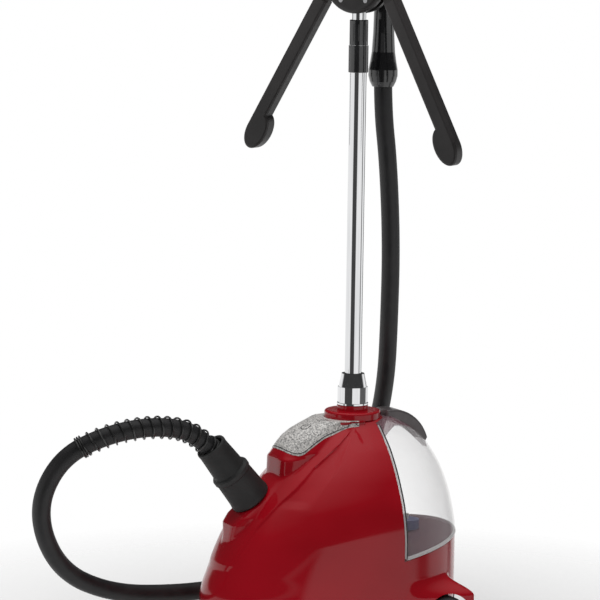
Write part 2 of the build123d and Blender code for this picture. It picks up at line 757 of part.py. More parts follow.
def feed_pipe():
    """Water pipe from the cup under the tray to the boiler."""
    back = VALVE_Y - 4
    front = BOILER_Y + BOILER_R + 1.0
    points = [(0, back, CUP_FOOT), (0, back, 70), (-4, 20, 56), (0, front, 60)]
    return tube_along(points, 4.5, 3.0)[0]


def steam_pipe():
    """Silicone pipe from the boiler's lid to the hose outlet."""
    start = (0, BOILER_Y, BOILER_TOP + BOILER_PORT + 0.2)
    tilt = radians(BOOT_TILT)
    end = (0, BOOT_SEAT[1] + 12 * cos(tilt), BOOT_SEAT[2] - 12 * sin(tilt))
    points = [start, (0, BOILER_Y, 145), end]
    return tube_along(points, 6.0, 4.0)[0]


def terminal_block():
    return block(40, 70, 30, 48, PLATE_Z + PLATE_THICK, PLATE_Z + 18)


def cord_inlet():
    """Bush in the rear wall where the power cord comes in."""
    place = Pos(INLET_X, INLET_Y, INLET_Z) * Rot(90, 0, 0)
    bush = place * Cylinder(INLET_R - GAP, INLET_LONG)
    bush += place * Pos(0, 0, INLET_LONG / 2 - 1.5) * Cylinder(INLET_R + 2.5, 3)
    return bush - place * Cylinder(INLET_BORE, 60)


def hose_boot():
    """Tapered rubber boot that holds the hose, with a step halfway up."""
    outline = Polyline(
        (0, 0), (26.5, 0), (27.0, 5), (24.5, 44), (25.5, 47), (25.0, 52), (22.0, 54),
        (20.0, BOOT_LONG - 3), (18.5, BOOT_LONG), (0, BOOT_LONG), close=True,
    )
    cone = revolve(Plane.XZ * make_face(outline), Axis.Z)
    cone -= rod(HOSE_R + 1.0, BOOT_LONG - 46, BOOT_LONG + 1)
    cone -= rod(SPRING_OUT + 0.9, BOOT_LONG - 11, BOOT_LONG + 1)
    cone -= rod(7.0, -1, 60)
    return Pos(*BOOT_SEAT) * Rot(90 - BOOT_TILT, 0, 0) * Pos(0, 0, GAP) * cone


def route_about_pole():
    """The hose's route, from the object's own frame to the frame that the pieces are modelled in."""
    return [(x, y - POLE_BACK, z) for x, y, z in HOSE_ROUTE]


def steam_hose():
    points = route_about_pole()
    radii = corner_radii(points)
    tube, line = tube_along(points, HOSE_R, 0, radii)
    print("hose radii", [round(r) for r in radii])
    print("hose length", round(line.length), "volume ratio", tube.volume / (pi * HOSE_R**2 * line.length))
    return tube


def hose_spring():
    """Space of the wire spring guard round the hose's first stretch."""
    points = [Vector(*p) for p in route_about_pole()]
    radii = corner_radii(points)[: SPRING_POINTS - 1]
    start = points[0] + (points[1] - points[0]) * SPRING_START
    end = points[SPRING_POINTS - 1] + (points[SPRING_POINTS] - points[SPRING_POINTS - 1]) * SPRING_PAST
    stretch = [start] + points[1:SPRING_POINTS] + [end]
    return tube_along([tuple(p) for p in stretch], SPRING_OUT, SPRING_IN, radii)[0]


def axle():
    return cross_rod(AXLE_R, -WHEEL_OUT - 1, WHEEL_OUT + 1, WHEEL_Y, WHEEL_R)


def axle_clips():
    clips = []
    for side in (-1, 1):
        near = side * 54
        far = side * 66
        clip = block(near, far, WHEEL_Y - 9, WHEEL_Y + 9, PLATE_Z + PLATE_THICK, WHEEL_R + 8)
        clips.append(clip - cross_rod(AXLE_R + 0.02, near - side, far + side, WHEEL_Y, WHEEL_R))
    return group(clips)


def wheel_hub(side):
    disc = cross_rod(HUBCAP_R, side * WHEEL_IN, side * WHEEL_OUT, WHEEL_Y, WHEEL_R)
    disc -= cross_rod(HUBCAP_R - 5, side * (WHEEL_OUT - 4), side * (WHEEL_OUT + 1), WHEEL_Y, WHEEL_R)
    disc += cross_rod(8.0, side * WHEEL_IN, side * (WHEEL_OUT - 1), WHEEL_Y, WHEEL_R)
    return disc - cross_rod(AXLE_R + RUN_FIT, side * 80, side * 140, WHEEL_Y, WHEEL_R)


def wheel_tyre(side):
    tyre = cross_rod(WHEEL_R, side * WHEEL_IN, side * WHEEL_OUT, WHEEL_Y, WHEEL_R)
    tyre = fillet(tyre.edges().filter_by(GeomType.CIRCLE), 3.0)
    return tyre - cross_rod(HUBCAP_R, side * 80, side * 140, WHEEL_Y, WHEEL_R)


def foot_pedal():
    """Rocker in the rear wall that switches the steamer on and off."""
    key = block(-PEDAL_HALF, PEDAL_HALF, PEDAL_IN, PEDAL_OUT, PEDAL_Z, PEDAL_Z + PEDAL_TALL)
    key = fillet(key.edges().group_by(Axis.Y)[-1], 4.0)
    inside = PEDAL_HALF - 3
    return key - block(-inside, inside, PEDAL_IN - 1, 135, PEDAL_Z - 1, PEDAL_Z + PEDAL_TALL - 3)


def switch_body():
    return block(-11, 11, 114, 130, PLATE_Z + PLATE_THICK, PEDAL_Z - 6)


def pedal_spring():
    return pipe(5.0, 4.0, PEDAL_Z - 5.7, PEDAL_Z + PEDAL_TALL - 3.3, 0, 122)


os.makedirs("parts", exist_ok=True)

casing = whole_shell()
save("body_shell", casing - under_tray())
save("rear_shell", casing & under_tray())
save("base_plate", base_plate())
save("base_screws", base_screws())
save("front_feet", front_feet())
save("control_panel", control_panel())
save("indicator_lens", indicator_lens())
save("pole_collar", pole_collar())
save("collar_ring", collar_ring())
save("pole_socket", pole_socket())
save("pole_tube_lower", pipe(TUBE_R - 0.02, TUBE_BORE, TUBE_FOOT, TUBE_TOP))
save("pole_nut", pole_nut())
save("pole_lock_body", pole_lock_body())
save("pole_lock_ring", pole_lock_ring())
save("pole_tube_upper", pipe(INNER_R - 0.02, INNER_BORE, INNER_FOOT, INNER_END))
save("pole_bush", pole_bush())
save("pole_end_cap", pole_end_cap())
save("handset_hook", handset_hook())
save("hub_rear", hub_rear())
save("hub_cover", hub_cover())
save("hub_screws", hub_screws())
save("arm_left", arm(-1, LEFT_DROOP))
save("arm_right", arm(1, RIGHT_DROOP))
save("handle_front", handle_half(False))
save("handle_rear", handle_half(True))
save("handset_head", handset_head())
save("steam_plate", steam_plate())
save("handset_pipe", handset_pipe())
save("handset_screws", handset_screws())
save("tank_shell", tank_shell())
save("tank_lid", tank_lid())
save("tank_handle", tank_handle())
save("valve_cap", valve_cap())
save("valve_plunger", valve_plunger())
save("valve_spring", valve_spring())
save("valve_seat", valve_seat())
save("boiler_body", boiler_body())
save("boiler_lid", boiler_lid())
save("boiler_stand", boiler_stand())
save("heating_element", heating_element())
save("thermostat", thermostat())
save("thermal_fuse", thermal_fuse())
save("feed_pipe", feed_pipe())
save("steam_pipe", steam_pipe())
save("terminal_block", terminal_block())
save("cord_inlet", cord_inlet())
save("hose_boot", hose_boot())
save("hose_spring", hose_spring())
save("steam_hose", steam_hose())
save("axle", axle())
save("axle_clips", axle_clips())
for word, way in (("left", -1), ("right", 1)):
    save(f"wheel_arch_{word}", wheel_arch(way))
    save(f"wheel_hub_{word}", wheel_hub(way))
    save(f"wheel_tyre_{word}", wheel_tyre(way))
save("foot_pedal", foot_pedal())
save("switch_body", switch_body())
save("pedal_spring", pedal_spring())
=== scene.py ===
import json
import math

import bmesh
import bpy
from mathutils import Matrix, Vector


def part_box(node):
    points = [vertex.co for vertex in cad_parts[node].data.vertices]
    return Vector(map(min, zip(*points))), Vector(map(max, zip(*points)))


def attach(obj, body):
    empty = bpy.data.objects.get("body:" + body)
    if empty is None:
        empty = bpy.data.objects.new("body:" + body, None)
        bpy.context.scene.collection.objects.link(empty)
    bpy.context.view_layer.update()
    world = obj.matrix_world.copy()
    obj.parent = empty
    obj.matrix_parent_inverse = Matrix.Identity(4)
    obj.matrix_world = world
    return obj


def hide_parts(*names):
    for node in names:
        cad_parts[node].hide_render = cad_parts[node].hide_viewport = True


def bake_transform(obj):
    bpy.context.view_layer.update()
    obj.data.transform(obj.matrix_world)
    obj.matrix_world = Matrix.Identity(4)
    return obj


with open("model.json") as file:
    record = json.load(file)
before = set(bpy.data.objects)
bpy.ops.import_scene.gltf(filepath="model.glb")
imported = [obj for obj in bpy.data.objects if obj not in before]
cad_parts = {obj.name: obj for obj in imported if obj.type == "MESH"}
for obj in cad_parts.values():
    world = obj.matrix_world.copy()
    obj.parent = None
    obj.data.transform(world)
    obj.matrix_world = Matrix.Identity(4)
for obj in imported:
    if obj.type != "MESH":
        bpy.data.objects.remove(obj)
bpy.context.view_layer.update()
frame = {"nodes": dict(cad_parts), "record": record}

# ---------------------------------------------------------------- driving sizes, in metres
NODES = frame["nodes"]
POLE_Y = sum(c.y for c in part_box("pole_tube_lower")) / 2     # the pole's axis, behind the middle of the base
WALL = 0.0026
SEAM = 0.0004               # gap between the base and the tank
HOSE_RADIUS = 0.012

# The base: height above the floor, half width, reach in front of the pole, reach behind it
DOME = (
    (0.022, 0.1250, 0.2080, 0.1390),
    (0.062, 0.1225, 0.2095, 0.1420),
    (0.102, 0.1205, 0.1970, 0.1430),
    (0.141, 0.1200, 0.1775, 0.1430),
    (0.180, 0.1135, 0.1500, 0.1370),
    (0.217, 0.0975, 0.1180, 0.1260),
    (0.254, 0.0730, 0.0790, 0.1050),
    (0.276, 0.0505, 0.0560, 0.0810),
    (0.290, 0.0340, 0.0380, 0.0560),
)
# The raised spine: height, reach in front of the pole, half width, squareness of its plan
SPINE = (
    (0.096, 0.1600, 0.003, 2.0),
    (0.112, 0.1800, 0.010, 3.0),
    (0.125, 0.1845, 0.020, 4.0),
    (0.162, 0.1810, 0.032, 5.0),
    (0.172, 0.1720, 0.034, 6.0),
    (0.213, 0.1220, 0.034, 6.0),
    (0.2165, 0.1155, 0.035, 6.0),
    (0.243, 0.1150, 0.038, 5.0),
    (0.2475, 0.1135, 0.041, 3.6),
    (0.253, 0.1110, 0.044, 2.9),
    (0.262, 0.1060, 0.042, 2.6),
    (0.270, 0.0990, 0.039, 2.6),
    (0.2775, 0.0880, 0.0365, 2.6),
    (0.284, 0.0730, 0.0360, 2.6),
    (0.290, 0.0540, 0.0400, 2.6),
)
# Folds beside the spine: height, then degrees from the front of the ledge's edge and of the leaf's edge,
# then how far the ledge stands out and how deep the leaf is sunk
FOLDS = (
    (0.022, 8.0, 38.0, 0.0, 0.0),
    (0.104, 8.0, 38.0, 0.0, 0.0),
    (0.113, 9.5, 38.0, 0.0018, 0.0),
    (0.130, 11.0, 38.0, 0.0022, 0.0),
    (0.160, 14.0, 38.0, 0.0024, 0.0),
    (0.187, 19.0, 38.0, 0.0024, 0.0),
    (0.196, 21.0, 38.5, 0.0024, 0.0022),
    (0.209, 25.0, 41.0, 0.0024, 0.0026),
    (0.221, 28.0, 44.5, 0.0024, 0.0026),
    (0.235, 31.0, 50.0, 0.0022, 0.0026),
    (0.253, 40.0, 54.0, 0.0020, 0.0024),
    (0.270, 51.0, 59.0, 0.0016, 0.0012),
    (0.282, 62.0, 67.0, 0.0008, 0.0),
    (0.290, 72.0, 76.0, 0.0, 0.0),
)
SKIRT_EDGE = 24.5           # degrees from the front
SKIRT_OUT = 0.0022
TRAY_Z = 0.118
TRAY_SLOPE = math.tan(math.radians(8.5))
BULKHEAD = 0.015            # behind the pole's axis
NOTCH = 0.0395
TRAY_WALL = 0.003
TANK_WALL = 0.0022

# The hose's route, in the object's own frame, as the CAD model has it
HOSE_ROUTE = (
    (0.0, -0.151, 0.234),
    (0.0, -0.189, 0.2805),
    (0.0, -0.244, 0.297),
    (-0.010, -0.312, 0.290),
    (-0.034, -0.372, 0.258),
    (-0.058, -0.394, 0.186),
    (-0.083, -0.352, 0.102),
    (-0.108, -0.266, 0.058),
    (-0.136, -0.160, 0.042),
    (-0.160, -0.060, 0.038),
    (-0.178, 0.040, 0.072),
    (-0.170, 0.116, 0.158),
    (-0.132, 0.140, 0.244),
    (-0.082, 0.126, 0.322),
    (-0.044, 0.1075, 0.404),
    (-0.032, 0.102, 0.510),
    (-0.0245, 0.091, 0.620),
    (-0.0204, 0.0788, 0.692),
    (-0.020, 0.078, 0.744),
)


def at(x, y, z):
    """Point given about the pole's axis."""
    return Vector((x, y + POLE_Y, z))


# ---------------------------------------------------------------- camera
CAMERA_TURN = math.radians(62.3)
CAMERA_RISE = math.radians(7.4)
CAMERA_AWAY = 4.0
CAMERA_ROLL = math.radians(0.84)
LOOK_AT = at(-0.0329, -0.0627, 0.4433)
VIEW_WIDE = 0.783           # width of the view at the pole
SENSOR = 36.0


def make_camera():
    data = bpy.data.cameras.new("camera")
    cam = bpy.data.objects.new("camera", data)
    bpy.context.scene.collection.objects.link(cam)
    way = Vector((
        math.sin(CAMERA_TURN) * math.cos(CAMERA_RISE),
        -math.cos(CAMERA_TURN) * math.cos(CAMERA_RISE),
        math.sin(CAMERA_RISE),
    ))
    cam.location = LOOK_AT + way * CAMERA_AWAY
    turn = (-way).to_track_quat("-Z", "Y").to_matrix().to_4x4()
    cam.matrix_world = Matrix.Translation(cam.location) @ turn @ Matrix.Rotation(CAMERA_ROLL, 4, "Z")
    data.sensor_width = SENSOR
    data.lens = SENSOR * CAMERA_AWAY / VIEW_WIDE
    data.clip_start = 0.05
    data.clip_end = 50
    bpy.context.scene.camera = cam


make_camera()


# ---------------------------------------------------------------- materials
def new_material(name):
    """A material with a Principled shader; returns it, its nodes, its links and the shader."""
    mat = bpy.data.materials.new(name)
    mat.use_nodes = True
    tree = mat.node_tree
    shader = tree.nodes["Principled BSDF"]
    return mat, tree.nodes, tree.links, shader


def noise(nodes, links, scale, detail=3.0, stretch=None):
    """Noise texture over object coordinates, stretched along an axis if asked."""
    where = nodes.new("ShaderNodeTexCoord")
    texture = nodes.new("ShaderNodeTexNoise")
    texture.inputs["Scale"].default_value = scale
    texture.inputs["Detail"].default_value = detail
    if stretch:
        mapping = nodes.new("ShaderNodeMapping")
        mapping.inputs["Scale"].default_value = stretch
        links.new(where.outputs["Object"], mapping.inputs["Vector"])
        links.new(mapping.outputs["Vector"], texture.inputs["Vector"])
    else:
        links.new(where.outputs["Object"], texture.inputs["Vector"])
    return texture


def ramp(nodes, links, source, stops):
    """Colour ramp over a value; stops are (position, colour)."""
    node = nodes.new("ShaderNodeValToRGB")
    elements = node.color_ramp.elements
    while len(elements) < len(stops):
        elements.new(0.5)
    for element, (position, colour) in zip(elements, stops):
        element.position = position
        element.color = (*colour, 1.0)
    links.new(source, node.inputs["Fac"])
    return node


def spread(nodes, links, source, low, high):
    """Map a 0 to 1 value onto low to high."""
    node = nodes.new("ShaderNodeMapRange")
    node.inputs["To Min"].default_value = low
    node.inputs["To Max"].default_value = high
    links.new(source, node.inputs["Value"])
    return node.outputs["Result"]


def bump(nodes, links, shader, height, strength, distance=0.001):
    node = nodes.new("ShaderNodeBump")
    node.inputs["Strength"].default_value = strength
    node.inputs["Distance"].default_value = distance
    links.new(height, node.inputs["Height"])
    links.new(node.outputs["Normal"], shader.inputs["Normal"])
    return node


def edge_wear(nodes, links, worn, plain, amount=0.6):
    """Mix towards a worn colour along sharp edges."""
    geometry = nodes.new("ShaderNodeNewGeometry")
    sharp = ramp(nodes, links, geometry.outputs["Pointiness"], [(0.52, (0, 0, 0)), (0.62, (amount,) * 3)])
    mix = nodes.new("ShaderNodeMix")
    mix.data_type = "RGBA"
    links.new(sharp.outputs["Color"], mix.inputs["Factor"])
    links.new(plain, mix.inputs["A"])
    mix.inputs["B"].default_value = (*worn, 1.0)
    return mix.outputs["Result"]


def red_gloss():
    """Deep red high-gloss moulding: slow colour drift, faint orange peel, dust-fine roughness."""
    mat, nodes, links, shader = new_material("red_gloss")
    drift = noise(nodes, links, 9.0, 2.0)
    stops = [(0.3, (0.36, 0.0035, 0.010)), (0.7, (0.43, 0.005, 0.014))]
    tint = ramp(nodes, links, drift.outputs["Fac"], stops)
    links.new(tint.outputs["Color"], shader.inputs["Base Color"])
    haze = noise(nodes, links, 140.0, 4.0)
    links.new(spread(nodes, links, haze.outputs["Fac"], 0.16, 0.26), shader.inputs["Roughness"])
    peel = noise(nodes, links, 420.0, 2.0)
    bump(nodes, links, shader, peel.outputs["Fac"], 0.06, 0.0004)
    shader.inputs["Specular IOR Level"].default_value = 0.12
    shader.inputs["Coat Weight"].default_value = 0.55
    shader.inputs["Coat Roughness"].default_value = 0.04
    return mat


def moulded_black(name, shade, rough, grain, depth, coat=0.0):
    """Black moulded plastic with a fine grain, paler where edges are rubbed."""
    mat, nodes, links, shader = new_material(name)
    drift = noise(nodes, links, 30.0, 4.0)
    low = tuple(c * 0.8 for c in shade)
    high = tuple(c * 1.25 for c in shade)
    tint = ramp(nodes, links, drift.outputs["Fac"], [(0.35, low), (0.7, high)])
    worn = tuple(min(1.0, c * 3.0 + 0.01) for c in shade)
    links.new(edge_wear(nodes, links, worn, tint.outputs["Color"]), shader.inputs["Base Color"])
    skin = noise(nodes, links, grain, 3.0)
    uneven = spread(nodes, links, skin.outputs["Fac"], rough - 0.06, rough + 0.08)
    links.new(uneven, shader.inputs["Roughness"])
    bump(nodes, links, shader, skin.outputs["Fac"], depth, 0.0005)
    shader.inputs["Coat Weight"].default_value = coat
    shader.inputs["Coat Roughness"].default_value = 0.08
    return mat


def chrome():
    """Polished chrome plate: faint drawing lines along the tube and a hint of haze."""
    mat, nodes, links, shader = new_material("chrome")
    lines = noise(nodes, links, 55.0, 3.0, stretch=(9.0, 9.0, 0.25))
    tint = ramp(nodes, links, lines.outputs["Fac"], [(0.3, (0.78, 0.79, 0.80)), (0.7, (0.90, 0.90, 0.91))])
    links.new(tint.outputs["Color"], shader.inputs["Base Color"])
    links.new(spread(nodes, links, lines.outputs["Fac"], 0.03, 0.09), shader.inputs["Roughness"])
    bump(nodes, links, shader, lines.outputs["Fac"], 0.015, 0.0003)
    shader.inputs["Metallic"].default_value = 1.0
    return mat


def bare_metal(name, shade, rough, stretch):
    """Plated or cast metal with fine directional lines."""
    mat, nodes, links, shader = new_material(name)
    lines = noise(nodes, links, 160.0, 4.0, stretch=stretch)
    low = tuple(c * 0.82 for c in shade)
    tint = ramp(nodes, links, lines.outputs["Fac"], [(0.3, low), (0.7, shade)])
    links.new(tint.outputs["Color"], shader.inputs["Base Color"])
    uneven = spread(nodes, links, lines.outputs["Fac"], rough - 0.08, rough + 0.1)
    links.new(uneven, shader.inputs["Roughness"])
    bump(nodes, links, shader, lines.outputs["Fac"], 0.12, 0.0003)
    shader.inputs["Metallic"].default_value = 1.0
    return mat


def speckled_silver():
    """Silver panel film with a dense black and white speckle."""
    mat, nodes, links, shader = new_material("silver_panel")
    where = nodes.new("ShaderNodeTexCoord")
    cells = nodes.new("ShaderNodeTexVoronoi")
    cells.inputs["Scale"].default_value = 620.0
    links.new(where.outputs["Object"], cells.inputs["Vector"])
    split = nodes.new("ShaderNodeSeparateColor")
    links.new(cells.outputs["Color"], split.inputs["Color"])
    stops = [
        (0.0, (0.20, 0.195, 0.19)), (0.25, (0.42, 0.41, 0.40)), (0.55, (0.62, 0.60, 0.58)),
        (1.0, (0.86, 0.84, 0.81)),
    ]
    tint = ramp(nodes, links, split.outputs["Red"], stops)
    links.new(tint.outputs["Color"], shader.inputs["Base Color"])
    links.new(spread(nodes, links, split.outputs["Green"], 0.28, 0.5), shader.inputs["Roughness"])
    bump(nodes, links, shader, split.outputs["Red"], 0.15, 0.0002)
    shader.inputs["Metallic"].default_value = 0.08
    return mat


def hose_rubber():
    """Matte black hose skin with a fine circumferential texture and handling marks."""
    mat, nodes, links, shader = new_material("hose_skin")
    rub = noise(nodes, links, 38.0, 5.0)
    stops = [(0.35, (0.010, 0.010, 0.011)), (0.75, (0.024, 0.023, 0.024))]
    tint = ramp(nodes, links, rub.outputs["Fac"], stops)
    links.new(tint.outputs["Color"], shader.inputs["Base Color"])
    links.new(spread(nodes, links, rub.outputs["Fac"], 0.42, 0.6), shader.inputs["Roughness"])
    fine = noise(nodes, links, 900.0, 4.0)
    bump(nodes, links, shader, fine.outputs["Fac"], 0.25, 0.0004)
    return mat


def clear_plastic(name, shade, rough, facing, grazing):
    """See-through moulding: clearest face on, denser towards its outline, with faint flow marks."""
    mat, nodes, links, shader = new_material(name)
    flow = noise(nodes, links, 14.0, 2.0)
    low = tuple(c * 0.94 for c in shade)
    tint = ramp(nodes, links, flow.outputs["Fac"], [(0.3, low), (0.7, shade)])
    links.new(tint.outputs["Color"], shader.inputs["Base Color"])
    links.new(spread(nodes, links, flow.outputs["Fac"], rough, rough + 0.04), shader.inputs["Roughness"])
    bump(nodes, links, shader, flow.outputs["Fac"], 0.05, 0.0006)
    weight = nodes.new("ShaderNodeLayerWeight")
    weight.inputs["Blend"].default_value = 0.35
    links.new(spread(nodes, links, weight.outputs["Facing"], facing, grazing), shader.inputs["Alpha"])
    shader.inputs["Specular IOR Level"].default_value = 0.6
    mat.surface_render_method = "BLENDED"
    return mat


def soft_white(name, shade, rough):
    """Natural nylon or silicone, slightly uneven."""
    mat, nodes, links, shader = new_material(name)
    cloud = noise(nodes, links, 60.0, 3.0)
    low = tuple(c * 0.88 for c in shade)
    tint = ramp(nodes, links, cloud.outputs["Fac"], [(0.3, low), (0.7, shade)])
    links.new(tint.outputs["Color"], shader.inputs["Base Color"])
    links.new(spread(nodes, links, cloud.outputs["Fac"], rough, rough + 0.12), shader.inputs["Roughness"])
    bump(nodes, links, shader, cloud.outputs["Fac"], 0.1, 0.0004)
    return mat


MATERIALS = {
    "red_gloss": red_gloss(),
    "black_gloss": moulded_black("black_gloss", (0.009, 0.009, 0.010), 0.20, 240.0, 0.03, coat=0.8),
    "black_satin": moulded_black("black_satin", (0.022, 0.020, 0.020), 0.40, 700.0, 0.10),
    "black_matte": moulded_black("black_matte", (0.018, 0.018, 0.018), 0.55, 500.0, 0.15),
    "dark_grey": moulded_black("dark_grey", (0.085, 0.074, 0.076), 0.33, 600.0, 0.08, coat=0.2),
    "blue_grey": moulded_black("blue_grey", (0.055, 0.060, 0.120), 0.3, 300.0, 0.05),
    "rubber": moulded_black("rubber", (0.019, 0.019, 0.019), 0.58, 420.0, 0.22),
    "tyre": moulded_black("tyre", (0.030, 0.030, 0.030), 0.62, 320.0, 0.3),
    "spring_wire": moulded_black("spring_wire", (0.010, 0.010, 0.010), 0.3, 900.0, 0.05, coat=0.4),
    "chrome": chrome(),
    "steel": bare_metal("steel", (0.52, 0.52, 0.53), 0.32, (1.0, 1.0, 8.0)),
    "brushed_steel": bare_metal("brushed_steel", (0.62, 0.62, 0.62), 0.28, (1.0, 1.0, 14.0)),
    "cast_aluminium": bare_metal("cast_aluminium", (0.60, 0.60, 0.60), 0.45, (1.0, 1.0, 1.0)),
    "silver_panel": speckled_silver(),
    "lens": clear_plastic("lens", (0.55, 0.05, 0.03), 0.08, 0.88, 0.96),
    "hose_skin": hose_rubber(),
    "silicone": soft_white("silicone", (0.62, 0.60, 0.56), 0.4),
    "white_nylon": soft_white("white_nylon", (0.70, 0.69, 0.65), 0.42),
    "clear_tank": clear_plastic("clear_tank", (0.82, 0.80, 0.81), 0.03, 0.01, 0.30),
    # Whiter and denser than the tank's plastic: paints the highlight along the tank's clear edges
    "painted_highlight_clear": clear_plastic("painted_highlight_clear", (0.86, 0.84, 0.84), 0.06, 0.45, 0.92),
    "smoky_lid": clear_plastic("smoky_lid", (0.260, 0.140, 0.165), 0.10, 0.34, 0.74),
}


def dress_cad_nodes():
    """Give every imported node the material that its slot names."""
    slots = {s["node"]: s["material_slot"] for s in frame["record"]["subparts"]}
    for name, obj in NODES.items():
        obj.data.materials.clear()
        obj.data.materials.append(MATERIALS[slots[name]])


dress_cad_nodes()


# ---------------------------------------------------------------- mesh tools
SHARP = math.radians(32)


def finish_piece(name, bm, body, slot, *replaced, sharp=SHARP):
    """Turn a bmesh into a piece: smooth faces with sharp creases, a material, a body and a slot."""
    bmesh.ops.recalc_face_normals(bm, faces=bm.faces)
    for face in bm.faces:
        face.smooth = True
    for edge in bm.edges:
        if len(edge.link_faces) == 2 and edge.calc_face_angle(0.0) > sharp:
            edge.smooth = False
    mesh = bpy.data.meshes.new(name)
    bm.to_mesh(mesh)
    bm.free()
    return place_mesh(name, mesh, body, slot, *replaced)


def place_mesh(name, mesh, body, slot, *replaced):
    obj = bpy.data.objects.new(name, mesh)
    bpy.context.scene.collection.objects.link(obj)
    mesh.materials.clear()
    mesh.materials.append(MATERIALS[slot])
    if body:
        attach(obj, body)
    if replaced:
        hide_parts(*replaced)
    return obj


def skin_rings(rings, caps=True):
    """Mesh through equal rings of points, with a cap on its first and last ring."""
    bm = bmesh.new()
    rows = [[bm.verts.new(p) for p in ring] for ring in rings]
    count = len(rows[0])
    for low, high in zip(rows, rows[1:]):
        for i in range(count):
            j = (i + 1) % count
            bm.faces.new((low[i], low[j], high[j], high[i]))
    if caps:
        bm.faces.new(rows[0])
        bm.faces.new(rows[-1])
    bmesh.ops.recalc_face_normals(bm, faces=bm.faces)
    return bm


def lathe(profile, frame_matrix, segments=64, caps=True):
    """Turn (radius, height) points round the Z axis of a frame."""
    rings = []
    for radius, height in profile:
        ring = []
        for i in range(segments):
            angle = 2 * math.pi * i / segments
            ring.append(frame_matrix @ Vector((radius * math.cos(angle), radius * math.sin(angle), height)))
        rings.append(ring)
    return skin_rings(rings, caps=caps)


def curve_points(route):
    """Points read along the NURBS spline whose control points are the route."""
    data = bpy.data.curves.new("route", "CURVE")
    data.dimensions = "3D"
    data.resolution_u = 12
    spline = data.splines.new("NURBS")
    spline.points.add(len(route) - 1)
    for point, place in zip(spline.points, route):
        point.co = (*place, 1.0)
    spline.order_u = 3
    spline.use_endpoint_u = True
    holder = bpy.data.objects.new("route", data)
    bpy.context.scene.collection.objects.link(holder)
    bpy.context.view_layer.update()
    mesh = bpy.data.meshes.new_from_object(holder)
    points = [v.co.copy() for v in mesh.vertices]
    bpy.data.objects.remove(holder)
    bpy.data.meshes.remove(mesh)
    return points


def even_points(points, step):
    """The same line, with points a step apart."""
    places = [0.0]
    for a, b in zip(points, points[1:]):
        places.append(places[-1] + (b - a).length)
    count = max(2, round(places[-1] / step))
    even = []
    k = 0
    for i in range(count + 1):
        goal = places[-1] * i / count
        while k < len(points) - 2 and places[k + 1] < goal:
            k += 1
        share = (goal - places[k]) / max(1e-9, places[k + 1] - places[k])
        even.append(points[k].lerp(points[k + 1], min(1.0, share)))
    return even


def frames_along(points):
    """Tangent and two side directions at each point, carried along without twisting."""
    tangents = []
    for i in range(len(points)):
        a = points[max(0, i - 1)]
        b = points[min(len(points) - 1, i + 1)]
        tangents.append((b - a).normalized())
    side = tangents[0].cross(Vector((0.3, 1.0, 0.2))).normalized()
    frames = []
    for tangent in tangents:
        side = (side - tangent * side.dot(tangent)).normalized()
        frames.append((tangent, side, tangent.cross(side)))
    return frames


def tube_rings(points, radius, segments):
    """Rings of points round a line."""
    rings = []
    for point, (_, side, other) in zip(points, frames_along(points)):
        ring = []
        for k in range(segments):
            angle = 2 * math.pi * k / segments
            ring.append(point + side * (radius * math.cos(angle)) + other * (radius * math.sin(angle)))
        rings.append(ring)
    return rings


# ---------------------------------------------------------------- the hose, its spring guard and boot
BOOT_AXIS = Vector((0.0, -math.cos(math.radians(50.8)), math.sin(math.radians(50.8))))
BOOT_FOOT = at(0.0, -0.147, 0.1925) + BOOT_AXIS * 0.0003
HOSE_FINE = 0.006
SPRING_WIRE = 0.0013
SPRING_RADIUS = 0.0139


def along_axis(foot, axis):
    """Frame whose Z axis points along a direction."""
    return Matrix.Translation(foot) @ axis.to_track_quat("Z", "Y").to_matrix().to_4x4()


def hose_boot():
    """Tapered rubber boot: flared foot, raised step halfway, rolled lip, and the bore for the hose."""
    foot = [(0.006, 0.0), (0.0255, 0.0), (0.0270, 0.0016), (0.0274, 0.0045), (0.0268, 0.0075)]
    step = [(0.0262, 0.012), (0.0249, 0.040), (0.0250, 0.0425), (0.0262, 0.0440), (0.0262, 0.0490)]
    neck = [(0.0250, 0.0508), (0.0229, 0.0520), (0.0223, 0.0545), (0.0207, 0.080)]
    lip = [(0.0203, 0.0880), (0.0206, 0.0900), (0.0206, 0.0925), (0.0200, 0.0940), (0.0176, 0.0942)]
    bore = [(0.0168, 0.0930), (0.0168, 0.0835), (0.0131, 0.0832), (0.0131, 0.050), (0.006, 0.050)]
    profile = foot + step + neck + lip + bore
    bm = lathe(profile, along_axis(BOOT_FOOT, BOOT_AXIS), 72, caps=False)
    return finish_piece("hose_boot_skin", bm, "base", "rubber", "hose_boot")


def steam_hose(line):
    bm = skin_rings(tube_rings(line, HOSE_RADIUS, 28))
    return finish_piece("steam_hose_skin", bm, None, "hose_skin", "steam_hose")


def spring_guard(line):
    """Wire coil round the hose's first stretch, wound closely at both ends."""
    start = 0.034
    length = 0.192
    turns = 19.0
    places = [0.0]
    for a, b in zip(line, line[1:]):
        places.append(places[-1] + (b - a).length)
    frames = frames_along(line)
    steps = int(turns * 20)
    coil = []
    for i in range(steps + 1):
        share = i / steps
        goal = start + length * close_ends(share)
        k = next(j for j in range(1, len(places)) if places[j] >= goal) - 1
        part = (goal - places[k]) / (places[k + 1] - places[k])
        centre = line[k].lerp(line[k + 1], part)
        side = frames[k][1].lerp(frames[k + 1][1], part).normalized()
        other = frames[k][2].lerp(frames[k + 1][2], part).normalized()
        angle = 2 * math.pi * turns * share
        coil.append(centre + (side * math.cos(angle) + other * math.sin(angle)) * SPRING_RADIUS)
    bm = skin_rings(tube_rings(coil, SPRING_WIRE, 7))
    return finish_piece("hose_spring_coil", bm, "base", "spring_wire", "hose_spring")


